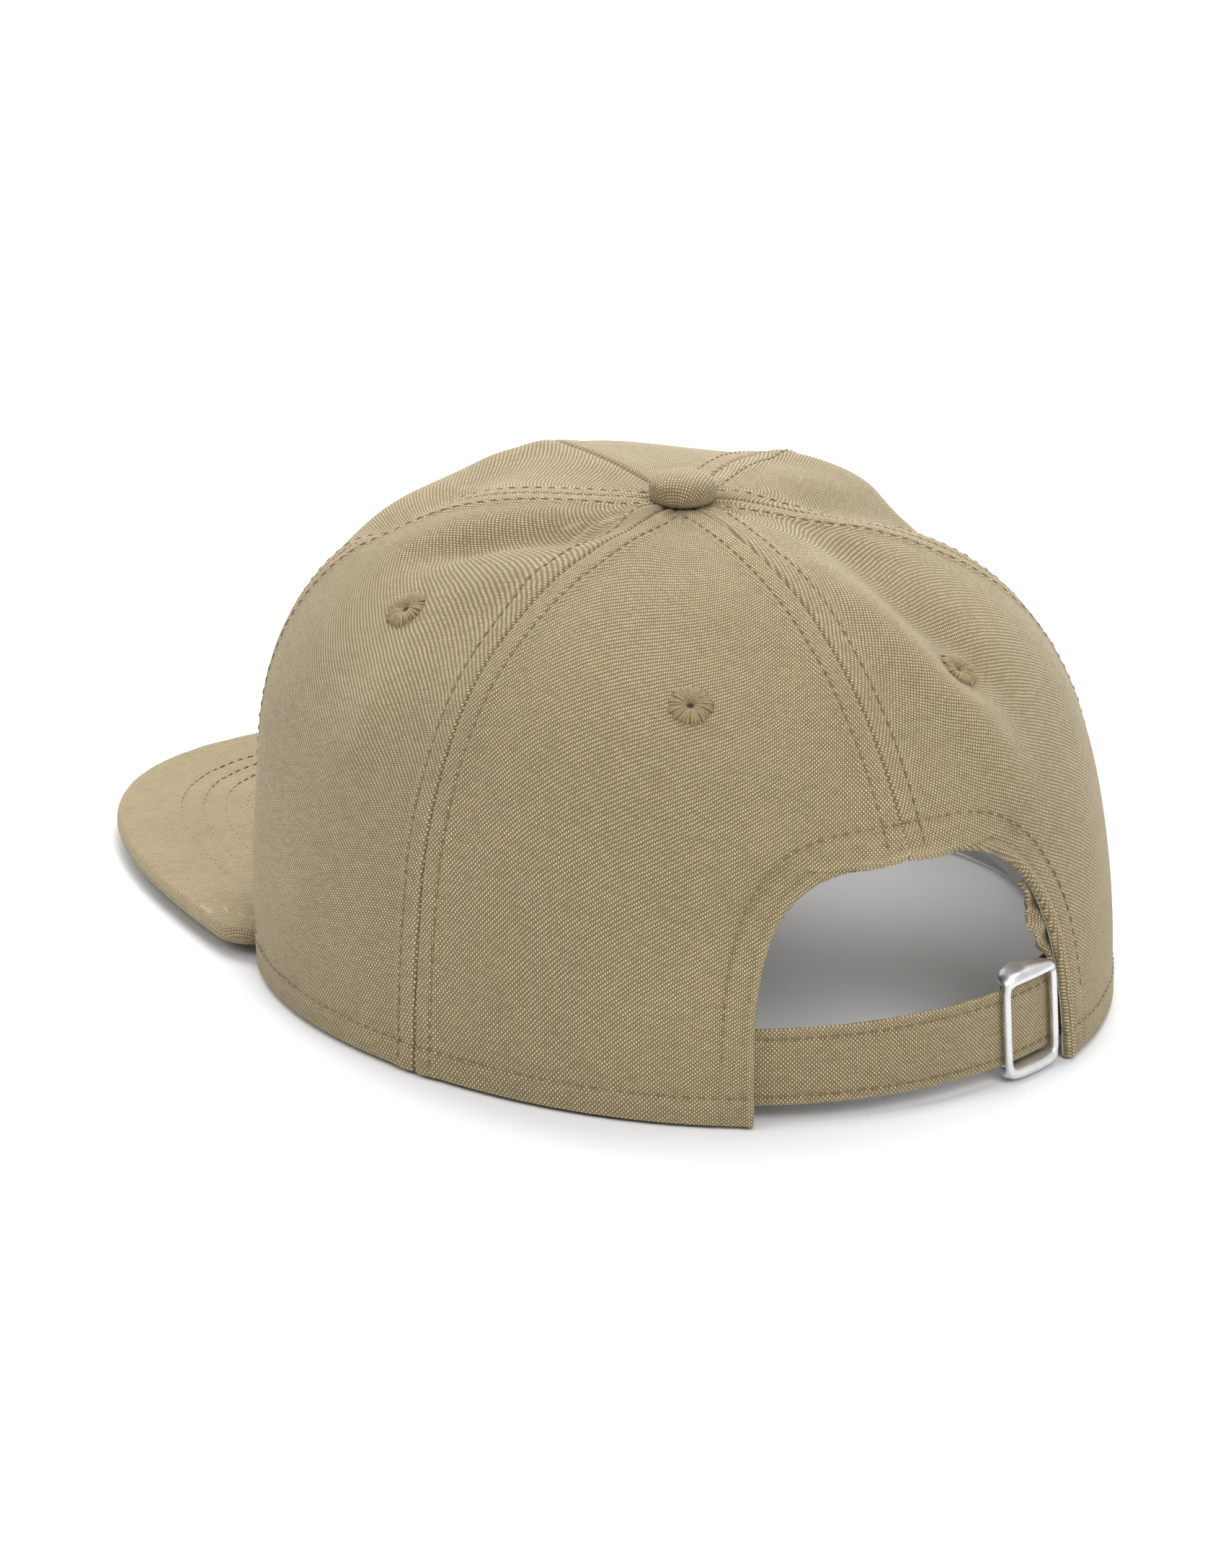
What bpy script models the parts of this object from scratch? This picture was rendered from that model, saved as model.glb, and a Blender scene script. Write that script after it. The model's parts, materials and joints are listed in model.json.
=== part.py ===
"""Six-panel, high-profile cap with a flat brim, a rear arch opening and a strap-and-buckle adjuster.

Metres, +Z up. The cap stands on the plane z = 0: the brim points along -Y, the wearer's left is +X, and the
origin is the middle of the cap's footprint. Angles round the crown start at the front seam and grow towards
the wearer's left, so the rear seam is at 180 degrees.
"""

import math

import bmesh
import bpy
import numpy as np
from mathutils import Matrix, Vector

MM = 0.001

# Crown: a vertical axis, and one profile for each seam family. A profile is a quartic Bezier curve in
# (radius, height) millimetres, from the lower edge to the apex under the button.
CROWN_AXIS_Y = 30.7
APEX_HEIGHT = 101.5
FRONT_SIDE_SEAM = 52.0
SIDE_REAR_SEAM = 113.0
REAR_SEAM = 180.0
FRONT_PROFILE = ((89.5, 0.0), (91.0, 69.0), (94.0, 115.0), (36.0, 101.0), (0.0, APEX_HEIGHT))
FRONT_SIDE_PROFILE = ((92.0, 0.0), (93.0, 34.0), (97.0, 89.0), (71.0, 105.0), (0.0, APEX_HEIGHT))
SIDE_REAR_PROFILE = ((91.0, 0.0), (92.0, 80.0), (74.0, 92.5), (15.0, 103.0), (0.0, APEX_HEIGHT))
REAR_PROFILE = ((105.0, 0.0), (103.0, 27.0), (85.5, 74.0), (66.0, 98.5), (0.0, APEX_HEIGHT))
TIP_RADIUS = 2.2
SEAM_GAP = 0.3
LAYER_GAP = 0.35
CUT_MARGIN = 1.0

# Layers, as depths below the crown's outer surface.
PANEL_LAYER = (0.0, 0.8)
EYELET_INNER_FLANGE = (1.4, 1.8)
BUCKRAM_LAYER = (1.15, 1.65)
FACING_LAYER = (1.5, 1.9)
TAPE_LAYER = (2.25, 2.7)
TAPE_HALF_ANGLE = 3.2
PANEL_ROWS = 13

# Sweatband: close to the front of the crown, and set back behind the strap at the rear.
SWEATBAND_HEIGHT = 32.0
SWEATBAND_END_ANGLE = 147.0
INTERLINING_END_ANGLE = 100.0
SWEATBAND_DEPTH_FRONT = 4.2
SWEATBAND_DEPTH_REAR = 7.6
SWEATBAND_THICKNESS = 0.6
INTERLINING_THICKNESS = 0.8
SWEATBAND_STEPS = 36
SETBACK_ANGLES = (78.0, 104.0)

# Rear arch opening: a superellipse in (distance along the lower edge, height).
ARCH_HALF_WIDTH = 40.4
ARCH_HEIGHT = 49.0
ARCH_EXPONENT = 3.66
ARCH_RADIUS = 105.0
FACING_WIDTH = 8.0

# Brim: a flat plate whose outline is a superellipse, with covers that wrap the board's edge.
BRIM_HALF_WIDTH = 88.1
BRIM_LENGTH = 134.0
BRIM_CENTRE_FORWARD = 28.5
BRIM_EXPONENT = 3.05
BRIM_THICKNESS = 3.8
BRIM_COVER = 0.6
BRIM_EDGE_WRAP = 0.9
BRIM_BOARD_GAP = 0.4
BRIM_LIP_SPLIT = 1.9
BRIM_TUCK = 2.5
BRIM_END_ANGLE = 63.6
BRIM_END_FORWARD = 14.0
BRIM_DEGREES_PER_MM = 0.64
BRIM_OUTER_STEPS = 48
BRIM_INNER_STEPS = 22
RIM_RAMP_ANGLES = (65.2, 68.8)
RIM_OVER_BRIM = 4.15

# Eyelets: stitched rings in the side and rear panels, given by angle and by profile parameter.
EYELETS = {
    "side_left": (86.5, 0.568),
    "side_right": (-86.5, 0.568),
    "rear_left": (150.8, 0.532),
    "rear_right": (-153.6, 0.535),
}
EYELET_RADIUS = 4.8
EYELET_HOLE_RADIUS = 1.0
EYELET_BARREL_RADIUS = 2.1
EYELET_PUNCH_RADIUS = 2.4
EYELET_RISE = 1.1
EYELET_LIFT = 0.3

# Button: a fabric-covered metal cap on the apex, held by a tack from inside.
BUTTON_RADIUS = 7.4
BUTTON_BASE_HEIGHT = 102.6
BUTTON_HEIGHT = 4.0
BUTTON_COVER = 0.6
BUTTON_SHOULDER = 1.0
BUTTON_LIP_RADIUS = 5.9
BUTTON_SOCKET_DEPTH = 1.3
TACK_RADIUS = 1.2
TACK_HEAD_RADIUS = 4.5
TACK_HEAD_TOP = 98.2
TACK_HEAD_THICKNESS = 1.0

# Adjuster: the strap is a conical band, so that it can slide round its own axis through the buckle.
STRAP_AXIS_Y = CROWN_AXIS_Y + 21.5
STRAP_RADIUS = 79.2
STRAP_LEAN = 0.075
STRAP_THICKNESS = 1.6
STRAP_LOW = 3.0
STRAP_HIGH = 19.0
STRAP_ANGLES = (126.0, 238.0)
BUCKLE_ANGLE = 199.8
BUCKLE_HALF_WIDTH = 8.0
BUCKLE_HALF_HEIGHT = 10.6
BUCKLE_CENTRE_HEIGHT = 11.0
BAR_RADIUS = 0.9
BAR_CLEARANCE = 0.85
BRIDGE_THICKNESS = 1.9
BRIDGE_BULGE = 1.1
BRIDGE_ROOT_HALF_WIDTH = 2.6
TAB_THICKNESS = 0.8
TAB_GAP = 0.4
TAB_LOOSENESS = 0.3
TAB_HALF_WIDTH = 7.6
TAB_END_ANGLE = 217.0
POCKET_ANGLES = (219.0, 250.0)
POCKET_THICKNESS = 0.6

CANVAS = (0.42, 0.35, 0.22)
CANVAS_DARK = (0.36, 0.30, 0.18)
LINING = (0.62, 0.60, 0.55)
STIFFENER = (0.75, 0.74, 0.70)
THREAD = (0.38, 0.31, 0.19)
STEEL = (0.72, 0.73, 0.74)
BOARD = (0.15, 0.15, 0.15)

HARMONICS = range(4)
SEAM_ANGLES = (0.0, FRONT_SIDE_SEAM, SIDE_REAR_SEAM, REAR_SEAM)
SEAM_PROFILES = (FRONT_PROFILE, FRONT_SIDE_PROFILE, SIDE_REAR_PROFILE, REAR_PROFILE)
SEAM_BASIS = np.linalg.inv(
    np.array([[math.cos(k * math.radians(angle)) for k in HARMONICS] for angle in SEAM_ANGLES])
)


def clear_scene():
    for obj in list(bpy.data.objects):
        bpy.data.objects.remove(obj, do_unlink=True)


def finish(obj, colour, roughness, metallic=0.0):
    """Give the object its own Principled material."""
    material = bpy.data.materials.new(obj.name)
    material.use_nodes = True
    shader = material.node_tree.nodes["Principled BSDF"]
    shader.inputs["Base Color"].default_value = (*colour, 1.0)
    shader.inputs["Roughness"].default_value = roughness
    shader.inputs["Metallic"].default_value = metallic
    obj.data.materials.append(material)


def new_object(name, points, faces, smooth=True):
    """A mesh object from points in millimetres, with its faces turned outwards."""
    mesh = bpy.data.meshes.new(name)
    work = bmesh.new()
    corners = [work.verts.new(Vector(point) * MM) for point in points]
    for face in faces:
        work.faces.new([corners[index] for index in face])
    bmesh.ops.recalc_face_normals(work, faces=work.faces)
    if work.calc_volume(signed=True) < 0:
        bmesh.ops.reverse_faces(work, faces=work.faces)
    work.to_mesh(mesh)
    work.free()
    if smooth:
        mesh.shade_smooth()
        mesh.set_sharp_from_angle(angle=math.radians(35))
    obj = bpy.data.objects.new(name, mesh)
    bpy.context.scene.collection.objects.link(obj)
    return obj


def as_cutter(obj):
    obj.hide_render = True
    obj.display_type = "WIRE"
    return obj


def combine(obj, other, operation, solver="EXACT"):
    """Add a Boolean with a hidden helper."""
    modifier = obj.modifiers.new(other.name, "BOOLEAN")
    modifier.operation = operation
    modifier.solver = solver
    modifier.object = as_cutter(other)


def bezier(points, t):
    degree = len(points) - 1
    weights = [math.comb(degree, i) * t**i * (1 - t) ** (degree - i) for i in range(degree + 1)]
    return sum(w * p[0] for w, p in zip(weights, points)), sum(w * p[1] for w, p in zip(weights, points))


def crown_section(angle, t):
    """Radius and height of the crown at an angle, blended between the seams' profiles."""
    seams = np.array([bezier(profile, t) for profile in SEAM_PROFILES])
    waves = np.array([math.cos(k * math.radians(angle)) for k in HARMONICS])
    return waves @ SEAM_BASIS @ seams


def crown_point(angle, t):
    radius, height = crown_section(angle, t)
    turn = math.radians(angle)
    return Vector((radius * math.sin(turn), CROWN_AXIS_Y - radius * math.cos(turn), height))


def crown_normal(angle, t):
    step = 0.5
    rise = 0.004
    low = max(t - rise, 0.0)
    high = min(t + rise, 0.999)
    around = crown_point(angle + step, t) - crown_point(angle - step, t)
    upward = crown_point(angle, high) - crown_point(angle, low)
    return around.cross(upward).normalized()


def skin(angle, t, depth):
    """A point below the crown's outer surface."""
    return crown_point(angle, t) - crown_normal(angle, t) * depth


def solve(function, low, high):
    """The root of a function that changes sign once between low and high."""
    rising = function(high) > function(low)
    for _ in range(40):
        middle = (low + high) / 2
        if (function(middle) > 0) == rising:
            high = middle
        else:
            low = middle
    return (low + high) / 2


def level(angle, height):
    """The profile parameter at which the crown reaches a height."""
    if height <= 0:
        return 0.0
    return solve(lambda t: crown_section(angle, t)[1] - height, 0.0, 0.6)


def tip(angle, radius):
    """The profile parameter near the apex at which the crown has a given radius."""
    return solve(lambda t: crown_section(angle, t)[0] - radius, 0.8, 1.0)


def smoothstep(low, high, value):
    share = min(max((value - low) / (high - low), 0.0), 1.0)
    return share * share * (3 - 2 * share)


def rim_height(angle):
    """Height of the crown's lower edge: over the brim at the front, and on the ground elsewhere."""
    return RIM_OVER_BRIM * (1 - smoothstep(*RIM_RAMP_ANGLES, abs(angle)))


def arch_height(angle):
    """Height of the rear opening above the ground at an angle, or the rim height beside it."""
    along = abs(math.radians(REAR_SEAM - abs(angle)) * ARCH_RADIUS)
    if along >= ARCH_HALF_WIDTH:
        return rim_height(angle)
    return ARCH_HEIGHT * (1 - (along / ARCH_HALF_WIDTH) ** ARCH_EXPONENT) ** (1 / ARCH_EXPONENT)


def row_parameters(angle):
    low = level(angle, arch_height(angle))
    high = tip(angle, TIP_RADIUS)
    return [low + (high - low) * row / PANEL_ROWS for row in range(PANEL_ROWS + 1)]


def column(angle, edge=0):
    """The crown's grid along one angle; edge = 1 or -1 leaves half the seam gap on that side."""
    cells = []
    for t in row_parameters(angle):
        radius = crown_section(angle, t)[0]
        shift = math.degrees(SEAM_GAP / 2 / radius) if edge else 0.0
        cells.append((angle + edge * shift, t))
    return cells


def sheet(name, columns, layer):
    """A closed sheet between two depths, from columns of (angle, parameter) cells."""
    outer, inner = layer
    width = len(columns)
    height = len(columns[0])
    points = [skin(angle, t, outer) for cells in columns for angle, t in cells]
    points += [skin(angle, t, inner) for cells in columns for angle, t in cells]
    return new_object(name, points, grid_faces(width, height))


def grid_faces(width, height):
    """Triangles of a closed sheet whose points are two stacked width x height grids."""
    offset = width * height

    def at(i, j, side):
        return i * height + j + side * offset

    faces = []
    for side in (0, 1):
        for i in range(width - 1):
            for j in range(height - 1):
                a, b = at(i, j, side), at(i + 1, j, side)
                c, d = at(i + 1, j + 1, side), at(i, j + 1, side)
                faces += [(a, b, c), (a, c, d)]
    border = [(i, 0) for i in range(width)]
    border += [(width - 1, j) for j in range(1, height)]
    border += [(i, height - 1) for i in range(width - 2, -1, -1)]
    border += [(0, j) for j in range(height - 2, 0, -1)]
    for (i, j), (k, m) in zip(border, border[1:] + border[:1]):
        a, b = at(i, j, 0), at(k, m, 0)
        c, d = at(k, m, 1), at(i, j, 1)
        faces += [(a, b, c), (a, c, d)]
    return faces


def sector_columns(start, end, inner_angles):
    """Columns of a panel between two seams, with a column at each tape's edge."""
    toward_end = 1 if end > start else -1
    middle = [start + toward_end * TAPE_HALF_ANGLE, *inner_angles, end - toward_end * TAPE_HALF_ANGLE]
    return [column(start, toward_end), *[column(angle) for angle in middle], column(end, -toward_end)]


def spread(start, end, count):
    return [start + (end - start) * (i + 1) / (count + 1) for i in range(count)]


def front_columns(side):
    inner = spread(TAPE_HALF_ANGLE, FRONT_SIDE_SEAM - TAPE_HALF_ANGLE, 4)
    return sector_columns(0.0, side * FRONT_SIDE_SEAM, [side * angle for angle in inner])


def side_columns(side):
    inner = [59.0, *RIM_RAMP_ANGLES, 75.0, 82.0, 89.0, 95.0, 102.0]
    return sector_columns(side * FRONT_SIDE_SEAM, side * SIDE_REAR_SEAM, [side * angle for angle in inner])


def rear_columns(side):
    arch_edge = REAR_SEAM - math.degrees(ARCH_HALF_WIDTH / ARCH_RADIUS)
    shares = (1.0, 0.995, 0.97, 0.92, 0.82, 0.65, 0.4)
    inner = [123.0, 131.0, 139.0, 146.0, 152.0]
    inner += [REAR_SEAM - (REAR_SEAM - arch_edge) * share for share in shares]
    return sector_columns(side * SIDE_REAR_SEAM, side * REAR_SEAM, [side * angle for angle in inner])


def make_panels():
    for side, word in ((1, "left"), (-1, "right")):
        front = sheet(f"crown_panel_front_{word}", front_columns(side), PANEL_LAYER)
        middle = sheet(f"crown_panel_side_{word}", side_columns(side), PANEL_LAYER)
        rear = sheet(f"crown_panel_rear_{word}", rear_columns(side), PANEL_LAYER)
        combine(middle, eyelet_punch(f"side_{word}"), "DIFFERENCE", "MANIFOLD")
        combine(rear, eyelet_punch(f"rear_{word}"), "DIFFERENCE", "MANIFOLD")
        for panel in (front, middle, rear):
            finish(panel, CANVAS, 0.92)


def make_buckram():
    """The stiffeners behind the two front panels stop short of the apex."""
    for side, word in ((1, "left"), (-1, "right")):
        columns = [cells[:-2] for cells in front_columns(side)]
        finish(sheet(f"front_buckram_{word}", columns, BUCKRAM_LAYER), STIFFENER, 0.8)


def make_seam_tapes():
    seams = {
        "front_centre": 0.0,
        "front_left": FRONT_SIDE_SEAM,
        "rear_left": SIDE_REAR_SEAM,
        "rear_centre": REAR_SEAM,
        "rear_right": -SIDE_REAR_SEAM,
        "front_right": -FRONT_SIDE_SEAM,
    }
    for word, angle in seams.items():
        first_row = 2 if angle == REAR_SEAM else 0
        columns = [column(angle + step * TAPE_HALF_ANGLE)[first_row:-1] for step in (-1, 0, 1)]
        finish(sheet(f"seam_tape_{word}", columns, TAPE_LAYER), LINING, 0.85)


def arch_cell(turn, margin):
    """A cell on the arch's outline, or margin millimetres outside it; turn runs 0 to 180 degrees."""
    cosine = math.cos(math.radians(turn))
    power = 2 / ARCH_EXPONENT
    along = math.copysign(abs(cosine) ** power, cosine) * (ARCH_HALF_WIDTH + margin)
    height = math.sin(math.radians(turn)) ** power * (ARCH_HEIGHT + margin)
    angle = REAR_SEAM - math.degrees(along / ARCH_RADIUS)
    return angle, level(angle, height)


def make_arch_facing():
    turns = [0.0, 4.0, 12.0, 22.0, 35.0, 50.0, 70.0]
    turns += [90.0] + [180.0 - turn for turn in reversed(turns)]
    columns = [[arch_cell(turn, FACING_WIDTH * share) for share in (0.04, 0.5, 1.0)] for turn in turns]
    finish(sheet("rear_arch_facing", columns, FACING_LAYER), LINING, 0.85)


def band_depth(angle, extra):
    rear = smoothstep(*SETBACK_ANGLES, abs(angle))
    return SWEATBAND_DEPTH_FRONT + (SWEATBAND_DEPTH_REAR - SWEATBAND_DEPTH_FRONT) * rear + extra


def make_band(name, end_angle, start_depth, thickness, colour):
    """A strip round the inside of the lower edge, open at the rear."""
    steps = SWEATBAND_STEPS
    heights = (1.0, 0.35 * SWEATBAND_HEIGHT, 0.7 * SWEATBAND_HEIGHT, SWEATBAND_HEIGHT)
    rings = []
    for extra in (start_depth, start_depth + thickness):
        for i in range(steps + 1):
            angle = end_angle * (2 * i / steps - 1)
            for height in heights:
                t = level(angle, rim_height(angle) + height)
                rings.append(skin(angle, t, band_depth(angle, extra)))
    finish(new_object(name, rings, grid_faces(steps + 1, len(heights))), colour, 0.85)


def make_sweatband():
    make_band("sweatband", SWEATBAND_END_ANGLE, 0.0, SWEATBAND_THICKNESS, LINING)
    start = -LAYER_GAP - INTERLINING_THICKNESS
    make_band("sweatband_interlining", INTERLINING_END_ANGLE, start, INTERLINING_THICKNESS, STIFFENER)


def brim_outline(inset):
    """Points round the brim in plan; inset moves the outer edge and the ends in, not the tucked inner edge."""
    outer = []
    half_width = BRIM_HALF_WIDTH - inset
    length = BRIM_LENGTH - inset
    end_share = (BRIM_END_FORWARD + inset) / length
    end_turn = math.acos(end_share ** (BRIM_EXPONENT / 2))
    for i in range(BRIM_OUTER_STEPS + 1):
        turn = end_turn * (2 * i / BRIM_OUTER_STEPS - 1)
        x = math.copysign(abs(math.sin(turn)) ** (2 / BRIM_EXPONENT), math.sin(turn)) * half_width
        y = -length * abs(math.cos(turn)) ** (2 / BRIM_EXPONENT) - BRIM_CENTRE_FORWARD
        outer.append((x, CROWN_AXIS_Y + y))
    inner = []
    end_angle = BRIM_END_ANGLE - inset * BRIM_DEGREES_PER_MM
    for i in range(BRIM_INNER_STEPS + 1):
        angle = end_angle * (1 - 2 * i / BRIM_INNER_STEPS)
        point = skin(angle, 0.0, BRIM_TUCK)
        inner.append((point.x, point.y))
    return outer + inner


def prism(name, outline, low, high):
    count = len(outline)
    points = [(x, y, low) for x, y in outline] + [(x, y, high) for x, y in outline]
    faces = [tuple(range(count)), tuple(range(count, 2 * count))]
    faces += [(i, (i + 1) % count, (i + 1) % count + count, i + count) for i in range(count)]
    return new_object(name, points, faces, smooth=False)


def make_brim():
    board_low = BRIM_COVER + LAYER_GAP
    board_high = BRIM_THICKNESS - BRIM_COVER - LAYER_GAP
    board = prism("brim_board", brim_outline(BRIM_EDGE_WRAP + BRIM_BOARD_GAP), board_low, board_high)
    top = prism("brim_top_cover", brim_outline(0.0), BRIM_LIP_SPLIT + SEAM_GAP / 2, BRIM_THICKNESS)
    under = prism("brim_under_cover", brim_outline(0.0), 0.0, BRIM_LIP_SPLIT - SEAM_GAP / 2)
    pocket = widen_inner(brim_outline(BRIM_EDGE_WRAP))
    top_hollow = prism("brim_top_hollow", pocket, -CUT_MARGIN, BRIM_THICKNESS - BRIM_COVER)
    under_hollow = prism("brim_under_hollow", pocket, BRIM_COVER, BRIM_THICKNESS + CUT_MARGIN)
    combine(top, top_hollow, "DIFFERENCE")
    combine(under, under_hollow, "DIFFERENCE")
    finish(board, BOARD, 0.6)
    finish(top, CANVAS, 0.92)
    finish(under, CANVAS_DARK, 0.92)


def widen_inner(outline):
    """The same outline with its inner edge moved back, so that a cut runs out through that edge."""
    outer_count = BRIM_OUTER_STEPS + 1
    return outline[:outer_count] + [(x, y + 3 * CUT_MARGIN) for x, y in outline[outer_count:]]


def lathe(name, profile, segments=32):
    """A solid turned round the local z axis from a closed (radius, height) profile."""
    points = []
    rings = []
    for radius, height in profile:
        if radius == 0:
            rings.append([len(points)] * segments)
            points.append((0, 0, height))
            continue
        rings.append(list(range(len(points), len(points) + segments)))
        for i in range(segments):
            turn = 2 * math.pi * i / segments
            points.append((radius * math.cos(turn), radius * math.sin(turn), height))
    faces = []
    for first, second in zip(rings, rings[1:] + rings[:1]):
        for i in range(segments):
            j = (i + 1) % segments
            corners = list(dict.fromkeys((first[i], first[j], second[j], second[i])))
            if len(corners) > 2:
                faces.append(corners)
    return new_object(name, points, faces)


def place_on_crown(obj, angle, t):
    """Stand the object's z axis along the crown's outward normal."""
    turn = crown_normal(angle, t).to_track_quat("Z", "Y")
    obj.matrix_world = Matrix.Translation(crown_point(angle, t) * MM) @ turn.to_matrix().to_4x4()


def eyelet_punch(place):
    depth = 4.0
    profile = ((0, -depth), (EYELET_PUNCH_RADIUS, -depth), (EYELET_PUNCH_RADIUS, depth), (0, depth))
    punch = lathe(f"eyelet_punch_{place}", profile, 20)
    place_on_crown(punch, *EYELETS[place])
    return punch


def make_eyelets():
    """A stitched ring above and below the panel, joined through the punched hole."""
    low, high = EYELET_INNER_FLANGE
    soft = 0.4
    profile = (
        (EYELET_HOLE_RADIUS, EYELET_RISE - 0.3),
        (EYELET_HOLE_RADIUS, -high),
        (EYELET_RADIUS - soft, -high),
        (EYELET_RADIUS - soft, -low),
        (EYELET_BARREL_RADIUS, -low),
        (EYELET_BARREL_RADIUS, EYELET_LIFT),
        (EYELET_RADIUS, EYELET_LIFT),
        (EYELET_RADIUS - soft / 2, EYELET_LIFT + 0.35),
        (0.6 * EYELET_RADIUS, EYELET_RISE),
        (EYELET_HOLE_RADIUS + soft, EYELET_RISE),
    )
    for place, position in EYELETS.items():
        eyelet = lathe(f"eyelet_{place}", profile, 24)
        place_on_crown(eyelet, *position)
        finish(eyelet, THREAD, 0.8)


def dome(radius, height, base, count):
    """Profile points up a flattened dome from its widest ring to its top centre."""
    turns = [math.pi / 2 * i / count for i in range(count + 1)]
    points = [(radius * math.cos(turn), base + height * math.sin(turn)) for turn in turns]
    points[-1] = (0.0, base + height)
    return points


def make_button():
    base = BUTTON_BASE_HEIGHT
    cover_outer = [(BUTTON_LIP_RADIUS, base), (BUTTON_RADIUS - 0.5, base)]
    cover_outer += dome(BUTTON_RADIUS, BUTTON_HEIGHT - BUTTON_SHOULDER, base + BUTTON_SHOULDER, 7)
    inner_height = BUTTON_HEIGHT - BUTTON_SHOULDER - BUTTON_COVER
    inside = dome(BUTTON_RADIUS - BUTTON_COVER, inner_height, base + BUTTON_SHOULDER, 7)
    cover = lathe("button_cover", cover_outer + inside[::-1] + [(BUTTON_LIP_RADIUS, base + BUTTON_COVER)])
    plate_high = base + BUTTON_COVER
    plate_radius = BUTTON_LIP_RADIUS - 0.3
    hole = TACK_RADIUS + LAYER_GAP
    plate = ((hole, base), (plate_radius, base), (plate_radius, plate_high), (hole, plate_high))
    back = lathe("button_back", plate)
    shell_base = plate_high + LAYER_GAP
    shell_radius = BUTTON_RADIUS - BUTTON_COVER - LAYER_GAP
    shell_top = dome(shell_radius, inner_height - 2 * LAYER_GAP, shell_base + LAYER_GAP, 6)
    socket_top = shell_base + BUTTON_SOCKET_DEPTH
    socket = [(0.0, socket_top), (hole, socket_top), (hole, shell_base), (shell_radius, shell_base)]
    shell = lathe("button_shell", socket + shell_top)
    tack_profile = (
        (0.0, TACK_HEAD_TOP - TACK_HEAD_THICKNESS),
        (TACK_HEAD_RADIUS, TACK_HEAD_TOP - TACK_HEAD_THICKNESS),
        (TACK_HEAD_RADIUS, TACK_HEAD_TOP),
        (TACK_RADIUS, TACK_HEAD_TOP),
        (TACK_RADIUS, socket_top - 0.3),
        (0.0, socket_top - 0.3),
    )
    tack = lathe("button_tack", tack_profile, 24)
    for obj in (cover, back, shell, tack):
        obj.location = (0.0, CROWN_AXIS_Y * MM, 0.0)
    finish(cover, CANVAS, 0.92)
    for obj in (back, shell, tack):
        finish(obj, STEEL, 0.35, 1.0)


def strap_point(angle, depth, height):
    """A point on the adjuster, relative to its vertical axis; depth is measured in from the strap's face."""
    radius = STRAP_RADIUS - STRAP_LEAN * height - depth
    turn = math.radians(angle)
    return Vector((radius * math.sin(turn), -radius * math.cos(turn), height))


def band_arc(name, angles, layer, heights, steps):
    points = []
    for depth in layer:
        for i in range(steps + 1):
            angle = angles[0] + (angles[1] - angles[0]) * i / steps
            points += [strap_point(angle, depth, height) for height in heights]
    return new_object(name, points, grid_faces(steps + 1, len(heights)))


def adjuster_axis():
    """The vertical axis that the strap slides round."""
    axis = bpy.data.objects.new("strap_axis", None)
    bpy.context.scene.collection.objects.link(axis)
    axis.location = (0.0, STRAP_AXIS_Y * MM, 0.0)
    return axis


def make_strap(axis):
    heights = (STRAP_LOW, STRAP_HIGH)
    strap = band_arc("adjuster_strap", STRAP_ANGLES, (0.0, STRAP_THICKNESS), heights, 40)
    strap.parent = axis
    finish(strap, CANVAS, 0.92)
    start = STRAP_THICKNESS + TAB_GAP
    heights = (STRAP_LOW - 1.0, STRAP_HIGH + 1.0)
    pocket = band_arc("tuck_pocket", POCKET_ANGLES, (start, start + POCKET_THICKNESS), heights, 12)
    pocket.parent = axis
    finish(pocket, LINING, 0.85)


def buckle_frame():
    """The buckle's pivot: u runs along the strap, n out of it, and w up its width."""
    origin = strap_point(BUCKLE_ANGLE, bar_depth(), BUCKLE_CENTRE_HEIGHT)
    turn = math.radians(BUCKLE_ANGLE)
    along = Vector((math.cos(turn), math.sin(turn), 0.0))
    up = Vector((-STRAP_LEAN * math.sin(turn), STRAP_LEAN * math.cos(turn), 1.0)).normalized()
    out = along.cross(up)
    rotation = Matrix((along, out, up)).transposed().to_4x4()
    origin += Vector((0.0, STRAP_AXIS_Y, 0.0))
    return Matrix.Translation(origin * MM) @ rotation


def bar_depth():
    """Depth of the centre bar's axis below the strap's face, leaving room for the tab round it."""
    return STRAP_THICKNESS + TAB_GAP + TAB_THICKNESS + TAB_LOOSENESS + BAR_RADIUS


def bar(name, along, out, half_height):
    low, high = -half_height, half_height
    rod = lathe(name, ((0, low), (BAR_RADIUS, low), (BAR_RADIUS, high), (0, high)), 16)
    rod.location = (along * MM, out * MM, 0.0)
    return rod


def bridge(name, low, high, bar_out):
    """One end of the frame: its outer edge is arched, and its inner edge reaches in to the centre bar."""
    half = BUCKLE_HALF_WIDTH + BAR_RADIUS
    root = BRIDGE_ROOT_HALF_WIDTH
    steps = 12
    outline = []
    for i in range(steps + 1):
        share = 2 * i / steps - 1
        outline.append((half * share, bar_out + BAR_RADIUS + BRIDGE_BULGE * (1 - share * share)))
    outline += [(half, bar_out - BAR_RADIUS), (root, -BAR_RADIUS)]
    outline += [(-root, -BAR_RADIUS), (-half, bar_out - BAR_RADIUS)]
    return prism(name, outline, low, high)


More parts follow.
